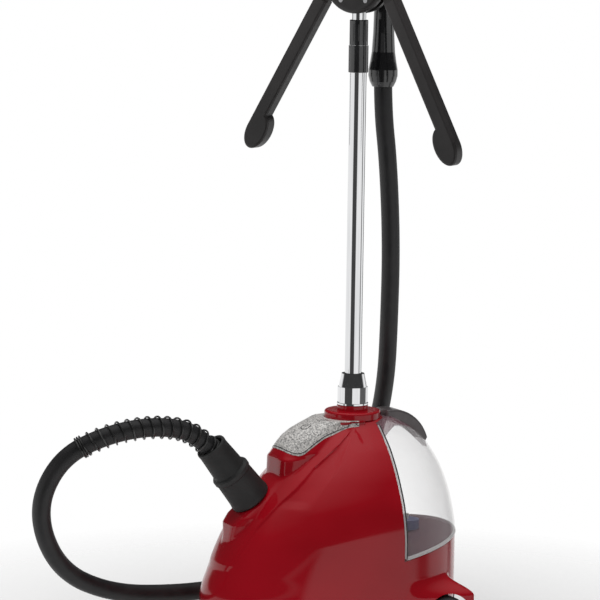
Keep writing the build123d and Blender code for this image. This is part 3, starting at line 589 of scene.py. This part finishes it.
def close_ends(share):
    """Share of the length that a coil has covered: slow at both ends, even between."""
    ends = 0.13
    slow = 0.28
    edge = ends * slow
    if share < ends:
        return share * slow
    if share > 1 - ends:
        return 1 - (1 - share) * slow
    return edge + (share - ends) * (1 - 2 * edge) / (1 - 2 * ends)


HOSE_LINE = even_points(curve_points(HOSE_ROUTE), HOSE_FINE)
boot = hose_boot()
spring = spring_guard(HOSE_LINE)
hose = steam_hose(HOSE_LINE)
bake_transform(hose)


# ---------------------------------------------------------------- the base's red shell
def smooth_between(table, z):
    """Smooth values of a height table at one height, by a monotone cubic through its rows."""
    if z <= table[0][0]:
        return table[0][1:]
    if z >= table[-1][0]:
        return table[-1][1:]
    k = next(i for i in range(len(table) - 1) if table[i + 1][0] >= z)
    z0, z1 = table[k][0], table[k + 1][0]
    t = (z - z0) / (z1 - z0)
    out = []
    for c in range(1, len(table[0])):
        slope = (table[k + 1][c] - table[k][c]) / (z1 - z0)
        before = (table[k][c] - table[k - 1][c]) / (z0 - table[k - 1][0]) if k else slope
        after = (table[k + 2][c] - table[k + 1][c]) / (table[k + 2][0] - z1) if k + 2 < len(table) else slope
        m0 = 0.0 if before * slope <= 0 else 2 * before * slope / (before + slope)
        m1 = 0.0 if after * slope <= 0 else 2 * after * slope / (after + slope)
        h = z1 - z0
        a = table[k][c]
        b = table[k + 1][c]
        out.append(
            (2 * t**3 - 3 * t**2 + 1) * a + (t**3 - 2 * t**2 + t) * h * m0
            + (3 * t**2 - 2 * t**3) * b + (t**3 - t**2) * h * m1
        )
    return out


def straight_between(table, z):
    """Values of a height table at one height, in straight lines between its rows."""
    if z <= table[0][0]:
        return table[0][1:]
    for low, high in zip(table, table[1:]):
        if z <= high[0]:
            t = (z - low[0]) / (high[0] - low[0])
            return [a + (b - a) * t for a, b in zip(low[1:], high[1:])]
    return table[-1][1:]


def soft_max(a, b, width):
    h = max(width - abs(a - b), 0.0) / width
    return max(a, b) + h * h * width / 4


def ease(x, low, high):
    t = min(1.0, max(0.0, (x - low) / (high - low)))
    return t * t * (3 - 2 * t)


ARCH_HALF = 0.1265
ARCH_Y = 0.078
ARCH_REACH = 0.045


def reach(angle, z, inset=0.0, spine=True):
    """Distance from the pole's axis to the base's surface, in one direction at one height."""
    half, front, back = (v - inset for v in smooth_between(DOME, z))
    c, s = math.cos(angle), math.sin(angle)
    far = front if s < 0 else back
    r = 1 / math.hypot(c / half, s / far)
    if not spine:
        return r
    if s > 0.05 and abs(c) > 0.3:
        box = (ARCH_HALF - inset) / abs(c)
        y = box * s
        here = 1 - ease(abs(y - ARCH_Y), ARCH_REACH * 0.80, ARCH_REACH * 1.5)
        here *= 1 - ease(z, 0.066, 0.094)
        r += here * max(0.0, box - r)
    if s < -0.05:
        r = folded(r, abs(math.degrees(math.atan2(c, -s))), z)
        edge, wide, square = straight_between(SPINE, z)
        across = abs(c) / (wide - inset)
        along = -s / (edge - inset)
        ridge = (across**square + along**square) ** (-1 / square)
        r = soft_max(r, ridge, 0.0032)
    return r


def folded(r, turn, z):
    """The dome with its ledge beside the spine, the sunk leaf, and the soft skirt at the front."""
    ledge, leaf, out, sunk = straight_between(FOLDS, z)
    r += out * (1 - ease(turn, ledge - 0.9, ledge + 0.9))
    if ledge < turn < leaf:
        share = (turn - ledge) / (leaf - ledge)
        r -= sunk * 4 * share * (1 - share)
    low = SKIRT_OUT * (1 - ease(z, 0.170, 0.215)) * ease(z, 0.022, 0.060)
    return r + low * (1 - ease(turn, SKIRT_EDGE - 5.0, SKIRT_EDGE + 1.2))


# Columns of the base's mesh on one side, from the front to the back: share of columns to each fold
FRONT_COLUMNS = (12, 12, 12, 14, 34)
REAR_COLUMNS = 48


def fold_angles(z):
    """Angles of the mesh's columns at one height, gathered along the folds, right side then left."""
    _, wide, _ = straight_between(SPINE, z)
    half, front, _ = smooth_between(DOME, z)
    foot = math.degrees(math.asin(min(0.85, wide / math.hypot(wide, front * 0.98))))
    ledge, leaf, _, _ = straight_between(FOLDS, z)
    foot = min(foot, ledge - 2.5) if ledge > 6 else foot
    knots = [0.0, foot * 0.82, foot * 1.08, ledge + 0.9, leaf, 90.0]
    right = []
    for (a, b), count in zip(zip(knots, knots[1:]), columns_now()):
        right += [a + (b - a) * i / count for i in range(count)]
    rear = rear_columns()
    right += [90.0 + 90.0 * i / rear for i in range(rear)]
    angles = [math.radians(turn - 90) for turn in right]
    left = [math.radians(-turn - 90) for turn in right[1:]]
    return angles + [math.radians(90)] + left[::-1]


def columns_now():
    return FRONT_COLUMNS


def rear_columns():
    return REAR_COLUMNS


def row_heights(low, high, step):
    """Heights of the mesh's rows, with one at each crease of the spine."""
    creases = [row[0] for row in SPINE + FOLDS if low < row[0] < high]
    stops = sorted(set([low, high] + creases))
    rows = [low]
    for a, b in zip(stops, stops[1:]):
        count = max(1, round((b - a) / step))
        rows += [a + (b - a) * i / count for i in range(1, count + 1)]
    return rows


def base_solid(name, inset, low, high, step):
    """Closed solid of the base with its spine and folds, drawn in by inset."""
    rings = []
    for z in row_heights(low, high, step):
        ring = []
        for angle in fold_angles(z):
            r = reach(angle, z, inset)
            ring.append(at(r * math.cos(angle), r * math.sin(angle), z))
        rings.append(ring)
    return loose_object(name, skin_rings(rings))


def dome_solid(name, inset, low, high, columns, rows):
    """Closed solid of the plain dome, drawn in by inset."""
    rings = []
    for i in range(rows + 1):
        z = low + (high - low) * i / rows
        ring = []
        for k in range(columns):
            angle = 2 * math.pi * k / columns
            r = reach(angle, min(z, DOME[-1][0]), inset, spine=False)
            ring.append(at(r * math.cos(angle), r * math.sin(angle), z))
        rings.append(ring)
    return loose_object(name, skin_rings(rings))


def loose_object(name, bm):
    """Scratch object, used in booleans and then deleted."""
    mesh = bpy.data.meshes.new(name)
    bm.to_mesh(mesh)
    bm.free()
    obj = bpy.data.objects.new(name, mesh)
    bpy.context.scene.collection.objects.link(obj)
    return obj


def combine(target, cutter, operation):
    """Apply a boolean to a scratch object, and delete the cutter."""
    modifier = target.modifiers.new("cut", "BOOLEAN")
    modifier.operation = operation
    modifier.solver = "EXACT"
    modifier.object = cutter
    bpy.context.view_layer.update()
    mesh = bpy.data.meshes.new_from_object(target.evaluated_get(bpy.context.evaluated_depsgraph_get()))
    target.modifiers.clear()
    target.data = mesh
    bpy.data.objects.remove(cutter)
    return target


# Cutters for the tank's room reach past it: sideways and back, up, and up past one another
CUTTER_SIDE = 0.2
CUTTER_TOP = 0.4
CUTTER_PAST = 0.42


def prism(points, x0, x1):
    """Solid across X from an outline of (y, z) points about the pole."""
    rings = [[at(x, y, z) for y, z in points] for x in (x0, x1)]
    return skin_rings(rings)


def upright(radius, low, high):
    """Solid cylinder about the pole's axis."""
    return lathe([(radius, low), (radius, high)], Matrix.Translation(at(0, 0, 0)), 96)


def tank_space(grow):
    """Room of the water tank, with its walls moved outwards by grow."""
    near = BULKHEAD - grow
    low = TRAY_Z - grow
    far = CUTTER_SIDE
    high = CUTTER_TOP
    outline = [
        (near, low - grow * TRAY_SLOPE),
        (far, low + (far - BULKHEAD) * TRAY_SLOPE),
        (far, high),
        (near, high),
    ]
    space = loose_object("space", prism(outline, -CUTTER_SIDE, CUTTER_SIDE))
    return combine(space, loose_object("notch", upright(NOTCH - grow, 0.0, CUTTER_PAST)), "DIFFERENCE")


def take_mesh(name, scratch, body, slot, *replaced, sharp=SHARP):
    """Make a scratch object into a piece."""
    bm = bmesh.new()
    bm.from_mesh(scratch.data)
    bmesh.ops.remove_doubles(bm, verts=bm.verts, dist=1e-6)
    bmesh.ops.dissolve_degenerate(bm, edges=bm.edges, dist=1e-6)
    bpy.data.objects.remove(scratch)
    return finish_piece(name, bm, body, slot, *replaced, sharp=sharp)


WHEEL_Z = 0.0335
WELL_RADIUS = 0.038
WELL_INNER = 0.092
WELL_OUTER = 0.16
PEDAL_HALF = 0.023          # opening for the foot pedal at the back: half width, reach and height
PEDAL_NEAR = 0.12
PEDAL_FAR = 0.17
PEDAL_LOW = 0.032
PEDAL_HIGH = 0.052


def wheel_cylinder(side, radius, x0, x1, segments=72):
    """Solid cylinder along X about one wheel's axis."""
    foot = at(side * x0, ARCH_Y, WHEEL_Z)
    return lathe([(radius, 0.0), (radius, x1 - x0)], along_axis(foot, Vector((side, 0, 0))), segments)


def red_shell():
    """The base's moulded shell with its bulkhead, tray, wheel openings and pedal opening."""
    step = 0.0018
    outer = base_solid("outer", 0.0, DOME[0][0], DOME[-1][0], step)
    outer = combine(outer, tank_space(0.0), "DIFFERENCE")
    inner = base_solid("inner", WALL, DOME[0][0] - 0.004, DOME[-1][0] - WALL, step * 2)
    inner = combine(inner, tank_space(TRAY_WALL), "DIFFERENCE")
    outer = combine(outer, inner, "DIFFERENCE")
    for side in (-1, 1):
        well = loose_object("well", wheel_cylinder(side, WELL_RADIUS, WELL_INNER, WELL_OUTER))
        outer = combine(outer, well, "DIFFERENCE")
    pedal = [
        (PEDAL_NEAR, PEDAL_LOW),
        (PEDAL_FAR, PEDAL_LOW),
        (PEDAL_FAR, PEDAL_HIGH),
        (PEDAL_NEAR, PEDAL_HIGH),
    ]
    opening = loose_object("pedal_opening", prism(pedal, -PEDAL_HALF, PEDAL_HALF))
    outer = combine(outer, opening, "DIFFERENCE")
    replaced = ("body_shell", "rear_shell", "wheel_arch_left", "wheel_arch_right")
    return take_mesh("body_shell_skin", outer, "base", "red_gloss", *replaced, sharp=math.radians(40))


red_shell()


# ---------------------------------------------------------------- the control panel
# Right-hand edge of the panel seen from above: across, behind the pole
PANEL_EDGE = (
    (0.0, -0.1095),
    (0.011, -0.1090),
    (0.020, -0.1068),
    (0.0275, -0.1022),
    (0.0325, -0.0950),
    (0.0345, -0.0880),
    (0.0345, -0.0740),
    (0.0342, -0.0580),
    (0.0348, -0.0420),
    (0.0365, -0.0270),
    (0.0395, -0.0110),
)
PANEL_HOLE = 0.0375         # round the collar
PANEL_LIFT = 0.0007
PANEL_THICK = 0.0012


def height_on(x, y):
    """Height of the base's top surface over one point."""
    angle = math.atan2(y, x)
    far = math.hypot(x, y)
    low, high = 0.20, DOME[-1][0]
    for _ in range(26):
        middle = (low + high) / 2
        if reach(angle, middle) > far:
            low = middle
        else:
            high = middle
    return low


def on_top(x, y, lift=0.0):
    """Point on the base's top surface, raised along the surface's normal."""
    step = 0.0008
    z = height_on(x, y)
    slope_x = (height_on(x + step, y) - height_on(x - step, y)) / (2 * step)
    slope_y = (height_on(x, y + step) - height_on(x, y - step)) / (2 * step)
    normal = Vector((-slope_x, -slope_y, 1.0)).normalized()
    return at(x, y, z) + normal * lift


def along_edge(edge, share):
    """Point a share of the way along an outline."""
    lengths = [math.dist(a, b) for a, b in zip(edge, edge[1:])]
    goal = share * sum(lengths)
    for (a, b), length in zip(zip(edge, edge[1:]), lengths):
        if goal <= length:
            t = goal / length
            return (a[0] + (b[0] - a[0]) * t, a[1] + (b[1] - a[1]) * t)
        goal -= length
    return edge[-1]


def panel_edge(inset=0.0):
    """The panel's whole outline in front, drawn in by inset, from the left tip to the right tip."""
    right = []
    for i in range(41):
        x, y = along_edge(PANEL_EDGE, i / 40)
        right.append((x * (1 - inset / 0.036), y + inset * (0.3 if y > -0.10 else 1.0)))
    return [(-x, y) for x, y in reversed(right[1:])] + right


def panel_skin():
    """Thin overlay on the spine, from its outline in to the collar, as one closed solid."""
    steps = 22
    loops = []
    for x, y in panel_edge():
        angle = math.atan2(y, x)
        hole = (PANEL_HOLE * math.cos(angle), PANEL_HOLE * math.sin(angle))
        line = [(x + (hole[0] - x) * k / steps, y + (hole[1] - y) * k / steps) for k in range(steps + 1)]
        top = [on_top(px, py, PANEL_LIFT) for px, py in line]
        under = [p - Vector((0, 0, PANEL_THICK)) for p in top]
        loops.append(top + under[::-1])
    return finish_piece("control_panel_skin", skin_rings(loops), "base", "silver_panel", "control_panel")


def surface_line(name, points, wide, tall, slot):
    """Raised line that follows the base's top surface through points seen from above."""
    places = [on_top(x, y, PANEL_LIFT + 0.0001) for x, y in points]
    rings = []
    for i, place in enumerate(places):
        ahead = places[min(i + 1, len(places) - 1)] - places[max(i - 1, 0)]
        x, y = points[i]
        up = (on_top(x, y, 0.002) - on_top(x, y)).normalized()
        side = ahead.cross(up).normalized()
        ring = []
        for a, b in ((-1, 0), (-0.6, 1), (0.6, 1), (1, 0)):
            ring.append(place + side * (wide / 2 * a) + up * (tall * b))
        rings.append(ring)
    return finish_piece(name, skin_rings(rings), "base", slot)


def ring_points(x, y, radius, count=28, start=0.0, sweep=360.0):
    points = []
    for i in range(count + 1):
        angle = math.radians(start + sweep * i / count)
        points.append((x + radius * math.cos(angle), y + radius * math.sin(angle)))
    return points


def panel_marks():
    """Plain generic marks: a power ring with its bar, and three level bars."""
    wide, tall = 0.0011, 0.00012
    ring = ring_points(0.010, -0.074, 0.0062, 28, 120, 300)
    surface_line("panel_mark_ring", ring, wide, tall, "black_matte")
    bar = [(0.010, -0.0735 + 0.0024 * i) for i in range(4)]
    surface_line("panel_mark_bar", bar, wide, tall, "black_matte")
    for number, half in enumerate((0.0032, 0.0050, 0.0068)):
        y = -0.056 + number * 0.0052
        line = [(0.012 + half * (i / 4 - 1), y) for i in range(9)]
        surface_line(f"panel_mark_level_{number + 1}", line, wide, tall, "black_matte")


panel_skin()
surface_line("panel_border_dark", panel_edge(0.0008), 0.0012, 0.00015, "black_matte")
surface_line("panel_border_white", panel_edge(0.0026), 0.0009, 0.00018, "white_nylon")
panel_marks()


# ---------------------------------------------------------------- the water tank
# Right-hand edge of the smoky lid seen from above, from its rear tip to the front
LID_EDGE = ((0.006, 0.110), (0.013, 0.102), (0.021, 0.076), (0.034, 0.045), (0.057, 0.015), (0.070, 0.0))
LID_OUTLINE = tuple((-x, y) for x, y in reversed(LID_EDGE)) + LID_EDGE
LID_LOW = 0.24
TANK_LOW = 0.08             # the dome's solid starts here, below the tray, and is then cut to the tank's room
RIM_BEAD = 0.0024           # radii of the beads along the tank's edges
SEAM_BEAD = 0.0011
FLOOR_THICK = 0.0022
FLOOR_GAP = 0.0006          # between the tank's floor and its wall
FLOOR_LIFT = 0.0034
RIM_INSET = 0.0012          # of the rim bead from the dome, and its lift off the tray
RIM_LIFT = RIM_BEAD + 0.0006
BEAD_INSET = 0.0004         # of the seam's clear bead from the dome, and its distance behind the bulkhead
BEAD_BEHIND = 0.0018
SHADE_LINE_INSET = 0.0010         # and the same for the black line, a painted shade along the seam
SHADE_LINE_BEHIND = 0.0042
RIM_STEPS = 96
SEAM_STEPS = 60
SEAM_LOW = TRAY_Z + 0.004
SEAM_HIGH = 0.2835


def lid_space():
    """Upright prism over the tank's smoky top."""
    rings = [[at(x, y, z) for x, y in LID_OUTLINE] for z in (LID_LOW, CUTTER_PAST)]
    return loose_object("lid_space", skin_rings(rings))


def tank_wall():
    """Hollow wall of the tank, lid included."""
    columns, rows = ((220, 120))
    outer = dome_solid("outer", 0.0, TANK_LOW, DOME[-1][0], columns, rows)
    outer = combine(outer, tank_space(-SEAM), "INTERSECT")
    inner = dome_solid("inner", TANK_WALL, TANK_LOW, DOME[-1][0] - TANK_WALL, columns, rows)
    inner = combine(inner, tank_space(-SEAM - TANK_WALL), "INTERSECT")
    return combine(outer, inner, "DIFFERENCE")


def water_tank():
    wall = tank_wall()
    lid = loose_object("lid", bmesh_of(wall.data))
    lid = combine(lid, lid_space(), "INTERSECT")
    wall = combine(wall, lid_space(), "DIFFERENCE")
    take_mesh("tank_wall", wall, "tank", "clear_tank", "tank_shell", sharp=math.radians(40))
    take_mesh("tank_lid_skin", lid, "tank", "smoky_lid", "tank_lid", sharp=math.radians(40))


def bmesh_of(mesh):
    bm = bmesh.new()
    bm.from_mesh(mesh)
    return bm


def tank_bead(name, places, radius, slot, highlight_look=None):
    """Round bead along a line of points on the tank, with its slot's material or another; the rim and seam
    beads take the whiter, denser clear material, a painted highlight along the tank's clear edges.
    """
    piece = finish_piece(name, skin_rings(tube_rings(places, radius, 10)), "tank", slot)
    piece.data.materials[0] = MATERIALS[highlight_look or slot]
    return piece


def rim_points(inset, lift):
    """Points round the tank's bottom edge, from the right end of the bulkhead to the left."""
    places = []
    for i in range(RIM_STEPS + 1):
        angle = math.pi * i / RIM_STEPS
        z = TRAY_Z
        for _ in range(6):
            r = reach(angle, z, inset, spine=False)
            z = TRAY_Z + max(0.0, r * math.sin(angle) - BULKHEAD) * TRAY_SLOPE
        y = r * math.sin(angle)
        if y > BULKHEAD + inset:
            places.append(at(r * math.cos(angle), y, z + lift))
    return places


def seam_points(side, inset, behind):
    """Points up the tank's front edge on one side, from the tray to the notch round the pole."""
    places = []
    y = BULKHEAD + behind
    for i in range(SEAM_STEPS + 1):
        z = SEAM_LOW + (SEAM_HIGH - SEAM_LOW) * i / SEAM_STEPS
        half, _, back = (v - inset for v in smooth_between(DOME, z))
        across = half * math.sqrt(max(0.0, 1 - (y / back) ** 2))
        places.append(at(side * across, y, z))
    return places


def tank_floor():
    """Smoky plate just above the tray, which closes the tank from below."""
    edge = rim_points(TANK_WALL + FLOOR_GAP, FLOOR_LIFT)
    low = [p.copy() for p in edge]
    high = [p + Vector((0, 0, FLOOR_THICK)) for p in edge]
    return finish_piece("tank_floor", skin_rings([low, high]), "tank", "smoky_lid", sharp=math.radians(40))


water_tank()
# Beads along the tank's bottom edge and seams, in the whiter clear material: a painted highlight
tank_bead("tank_rim_bead", rim_points(RIM_INSET, RIM_LIFT), RIM_BEAD, "clear_tank", "painted_highlight_clear")
for side, word in ((-1, "left"), (1, "right")):
    edge = seam_points(side, BEAD_INSET, BEAD_BEHIND)
    tank_bead(f"tank_seam_bead_{word}", edge, SEAM_BEAD, "clear_tank", "painted_highlight_clear")
    # Black line inside the clear wall beside the seam: painted shade where the tank meets the base
    shade_line = seam_points(side, SHADE_LINE_INSET, SHADE_LINE_BEHIND)
    tank_bead(f"tank_seam_seal_{word}", shade_line, SEAM_BEAD, "black_matte")
tank_floor()


# ---------------------------------------------------------------- light, floor and finish
def stage_plane(name, places, shade, rough):
    """Flat sheet that isn't part of the object."""
    mesh = bpy.data.meshes.new(name)
    mesh.from_pydata(places, [], [tuple(range(len(places)))])
    obj = bpy.data.objects.new(name, mesh)
    bpy.context.scene.collection.objects.link(obj)
    mat, nodes, links, shader = new_material(name)
    shader.inputs["Base Color"].default_value = (*shade, 1.0)
    shader.inputs["Roughness"].default_value = rough
    mesh.materials.append(mat)
    return obj


def area_light(name, place, aim, size, power):
    """Square lamp at a place, turned towards a point."""
    data = bpy.data.lights.new(name, "AREA")
    data.shape = "RECTANGLE"
    data.size = size
    data.size_y = size
    data.energy = power
    obj = bpy.data.objects.new(name, data)
    bpy.context.scene.collection.objects.link(obj)
    obj.location = place
    obj.rotation_mode = "QUATERNION"
    obj.rotation_quaternion = (Vector(aim) - Vector(place)).to_track_quat("-Z", "Y")


def maths(tree, operation, first, second):
    """Math node over two inputs, each a socket or a number."""
    node = tree.nodes.new("ShaderNodeMath")
    node.operation = operation
    for socket, value in zip(node.inputs, (first, second)):
        if isinstance(value, (int, float)):
            socket.default_value = value
        else:
            tree.links.new(value, socket)
    return node.outputs["Value"]


def grey_ramp(tree, source, stops):
    """Grey colour ramp over a 0 to 1 value; stops are (position, brightness)."""
    return ramp(tree.nodes, tree.links, source, [(at_share, (grey,) * 3) for at_share, grey in stops])


# What polished parts mirror. By height, from straight down at 0 to straight up at 1:
# a bright low wall, a dark band above it, and a bright ceiling.
ROOM_BY_HEIGHT = ((0.0, 0.95), (0.54, 0.95), (0.56, 0.04), (0.80, 0.05), (0.90, 0.45), (0.99, 0.95))
# The low wall, once round from the object's left by way of its front: pale, with dark uprights
# like studio flags
ROOM_ROUND = (
    (0.0, 0.95), (0.28, 0.95), (0.30, 0.06), (0.44, 0.06), (0.455, 0.95), (0.64, 0.95), (0.66, 0.12),
    (0.68, 0.12), (0.70, 0.95), (0.79, 0.95), (0.80, 0.15), (0.82, 0.15), (0.83, 0.95), (1.0, 0.95),
)
BOUNCE = 0.24               # brightness of the room in soft light


def studio_world():
    """White backdrop; a soft even room for diffuse light; a simple dark and bright room for gloss."""
    world = bpy.data.worlds.new("world")
    bpy.context.scene.world = world
    world.use_nodes = True
    tree = world.node_tree
    tree.nodes["Background"].inputs["Color"].default_value = (1, 1, 1, 1)
    where = tree.nodes.new("ShaderNodeTexCoord")
    split = tree.nodes.new("ShaderNodeSeparateXYZ")
    tree.links.new(where.outputs["Generated"], split.inputs["Vector"])
    height = maths(tree, "MULTIPLY_ADD", split.outputs["Z"], 0.5)
    height.node.inputs[2].default_value = 0.5
    turn = maths(tree, "ARCTAN2", split.outputs["Y"], split.outputs["X"])
    share = maths(tree, "MULTIPLY_ADD", turn, 0.5 / math.pi)
    share.node.inputs[2].default_value = 0.5
    by_height = grey_ramp(tree, height, ROOM_BY_HEIGHT)
    around = grey_ramp(tree, share, ROOM_ROUND)
    low_wall = grey_ramp(tree, height, ((0.52, 1.0), (0.57, 0.0)))
    shade = maths(tree, "SUBTRACT", 1.0, around.outputs["Color"])
    flags = maths(tree, "MULTIPLY", shade, low_wall.outputs["Color"])
    room = maths(tree, "MULTIPLY", by_height.outputs["Color"], maths(tree, "SUBTRACT", 1.0, flags))
    path = tree.nodes.new("ShaderNodeLightPath")
    soft = maths(tree, "MULTIPLY", path.outputs["Is Diffuse Ray"], BOUNCE)
    gloss = maths(tree, "MULTIPLY", path.outputs["Is Glossy Ray"], room)
    seen = maths(tree, "MAXIMUM", path.outputs["Is Camera Ray"], path.outputs["Is Transmission Ray"])
    total = maths(tree, "ADD", maths(tree, "ADD", soft, gloss), seen)
    tree.links.new(total, tree.nodes["Background"].inputs["Strength"])


FLOOR_RADIUS = 0.75
FLOOR_FADE = 0.22           # the floor starts to fade out here


def studio_floor():
    """Round pale floor that fades into the backdrop."""
    places = []
    for i in range(96):
        angle = 2 * math.pi * i / 96
        places.append((FLOOR_RADIUS * math.cos(angle), FLOOR_RADIUS * math.sin(angle), -0.0005))
    floor = stage_plane("floor", places, (0.95, 0.95, 0.95), 0.7)
    tree = floor.data.materials[0].node_tree
    where = tree.nodes.new("ShaderNodeTexCoord")
    away = tree.nodes.new("ShaderNodeVectorMath")
    away.operation = "LENGTH"
    tree.links.new(where.outputs["Object"], away.inputs[0])
    fade = tree.nodes.new("ShaderNodeMapRange")
    fade.inputs["From Min"].default_value = FLOOR_FADE
    fade.inputs["From Max"].default_value = FLOOR_RADIUS
    fade.inputs["To Min"].default_value = 1.0
    fade.inputs["To Max"].default_value = 0.0
    tree.links.new(away.outputs["Value"], fade.inputs["Value"])
    tree.links.new(fade.outputs["Result"], tree.nodes["Principled BSDF"].inputs["Alpha"])


def studio():
    studio_floor()
    studio_world()
    area_light("ceiling", (0.0, 0.0, 2.6), (0, 0, 0.2), 2.2, 46)
    area_light("front", (1.6, -1.7, 1.9), (0, 0, 0.25), 1.2, 9)
    for lamp in ("ceiling", "front"):
        bpy.data.objects[lamp].visible_glossy = False
    bpy.context.scene.view_settings.view_transform = "Standard"


studio()
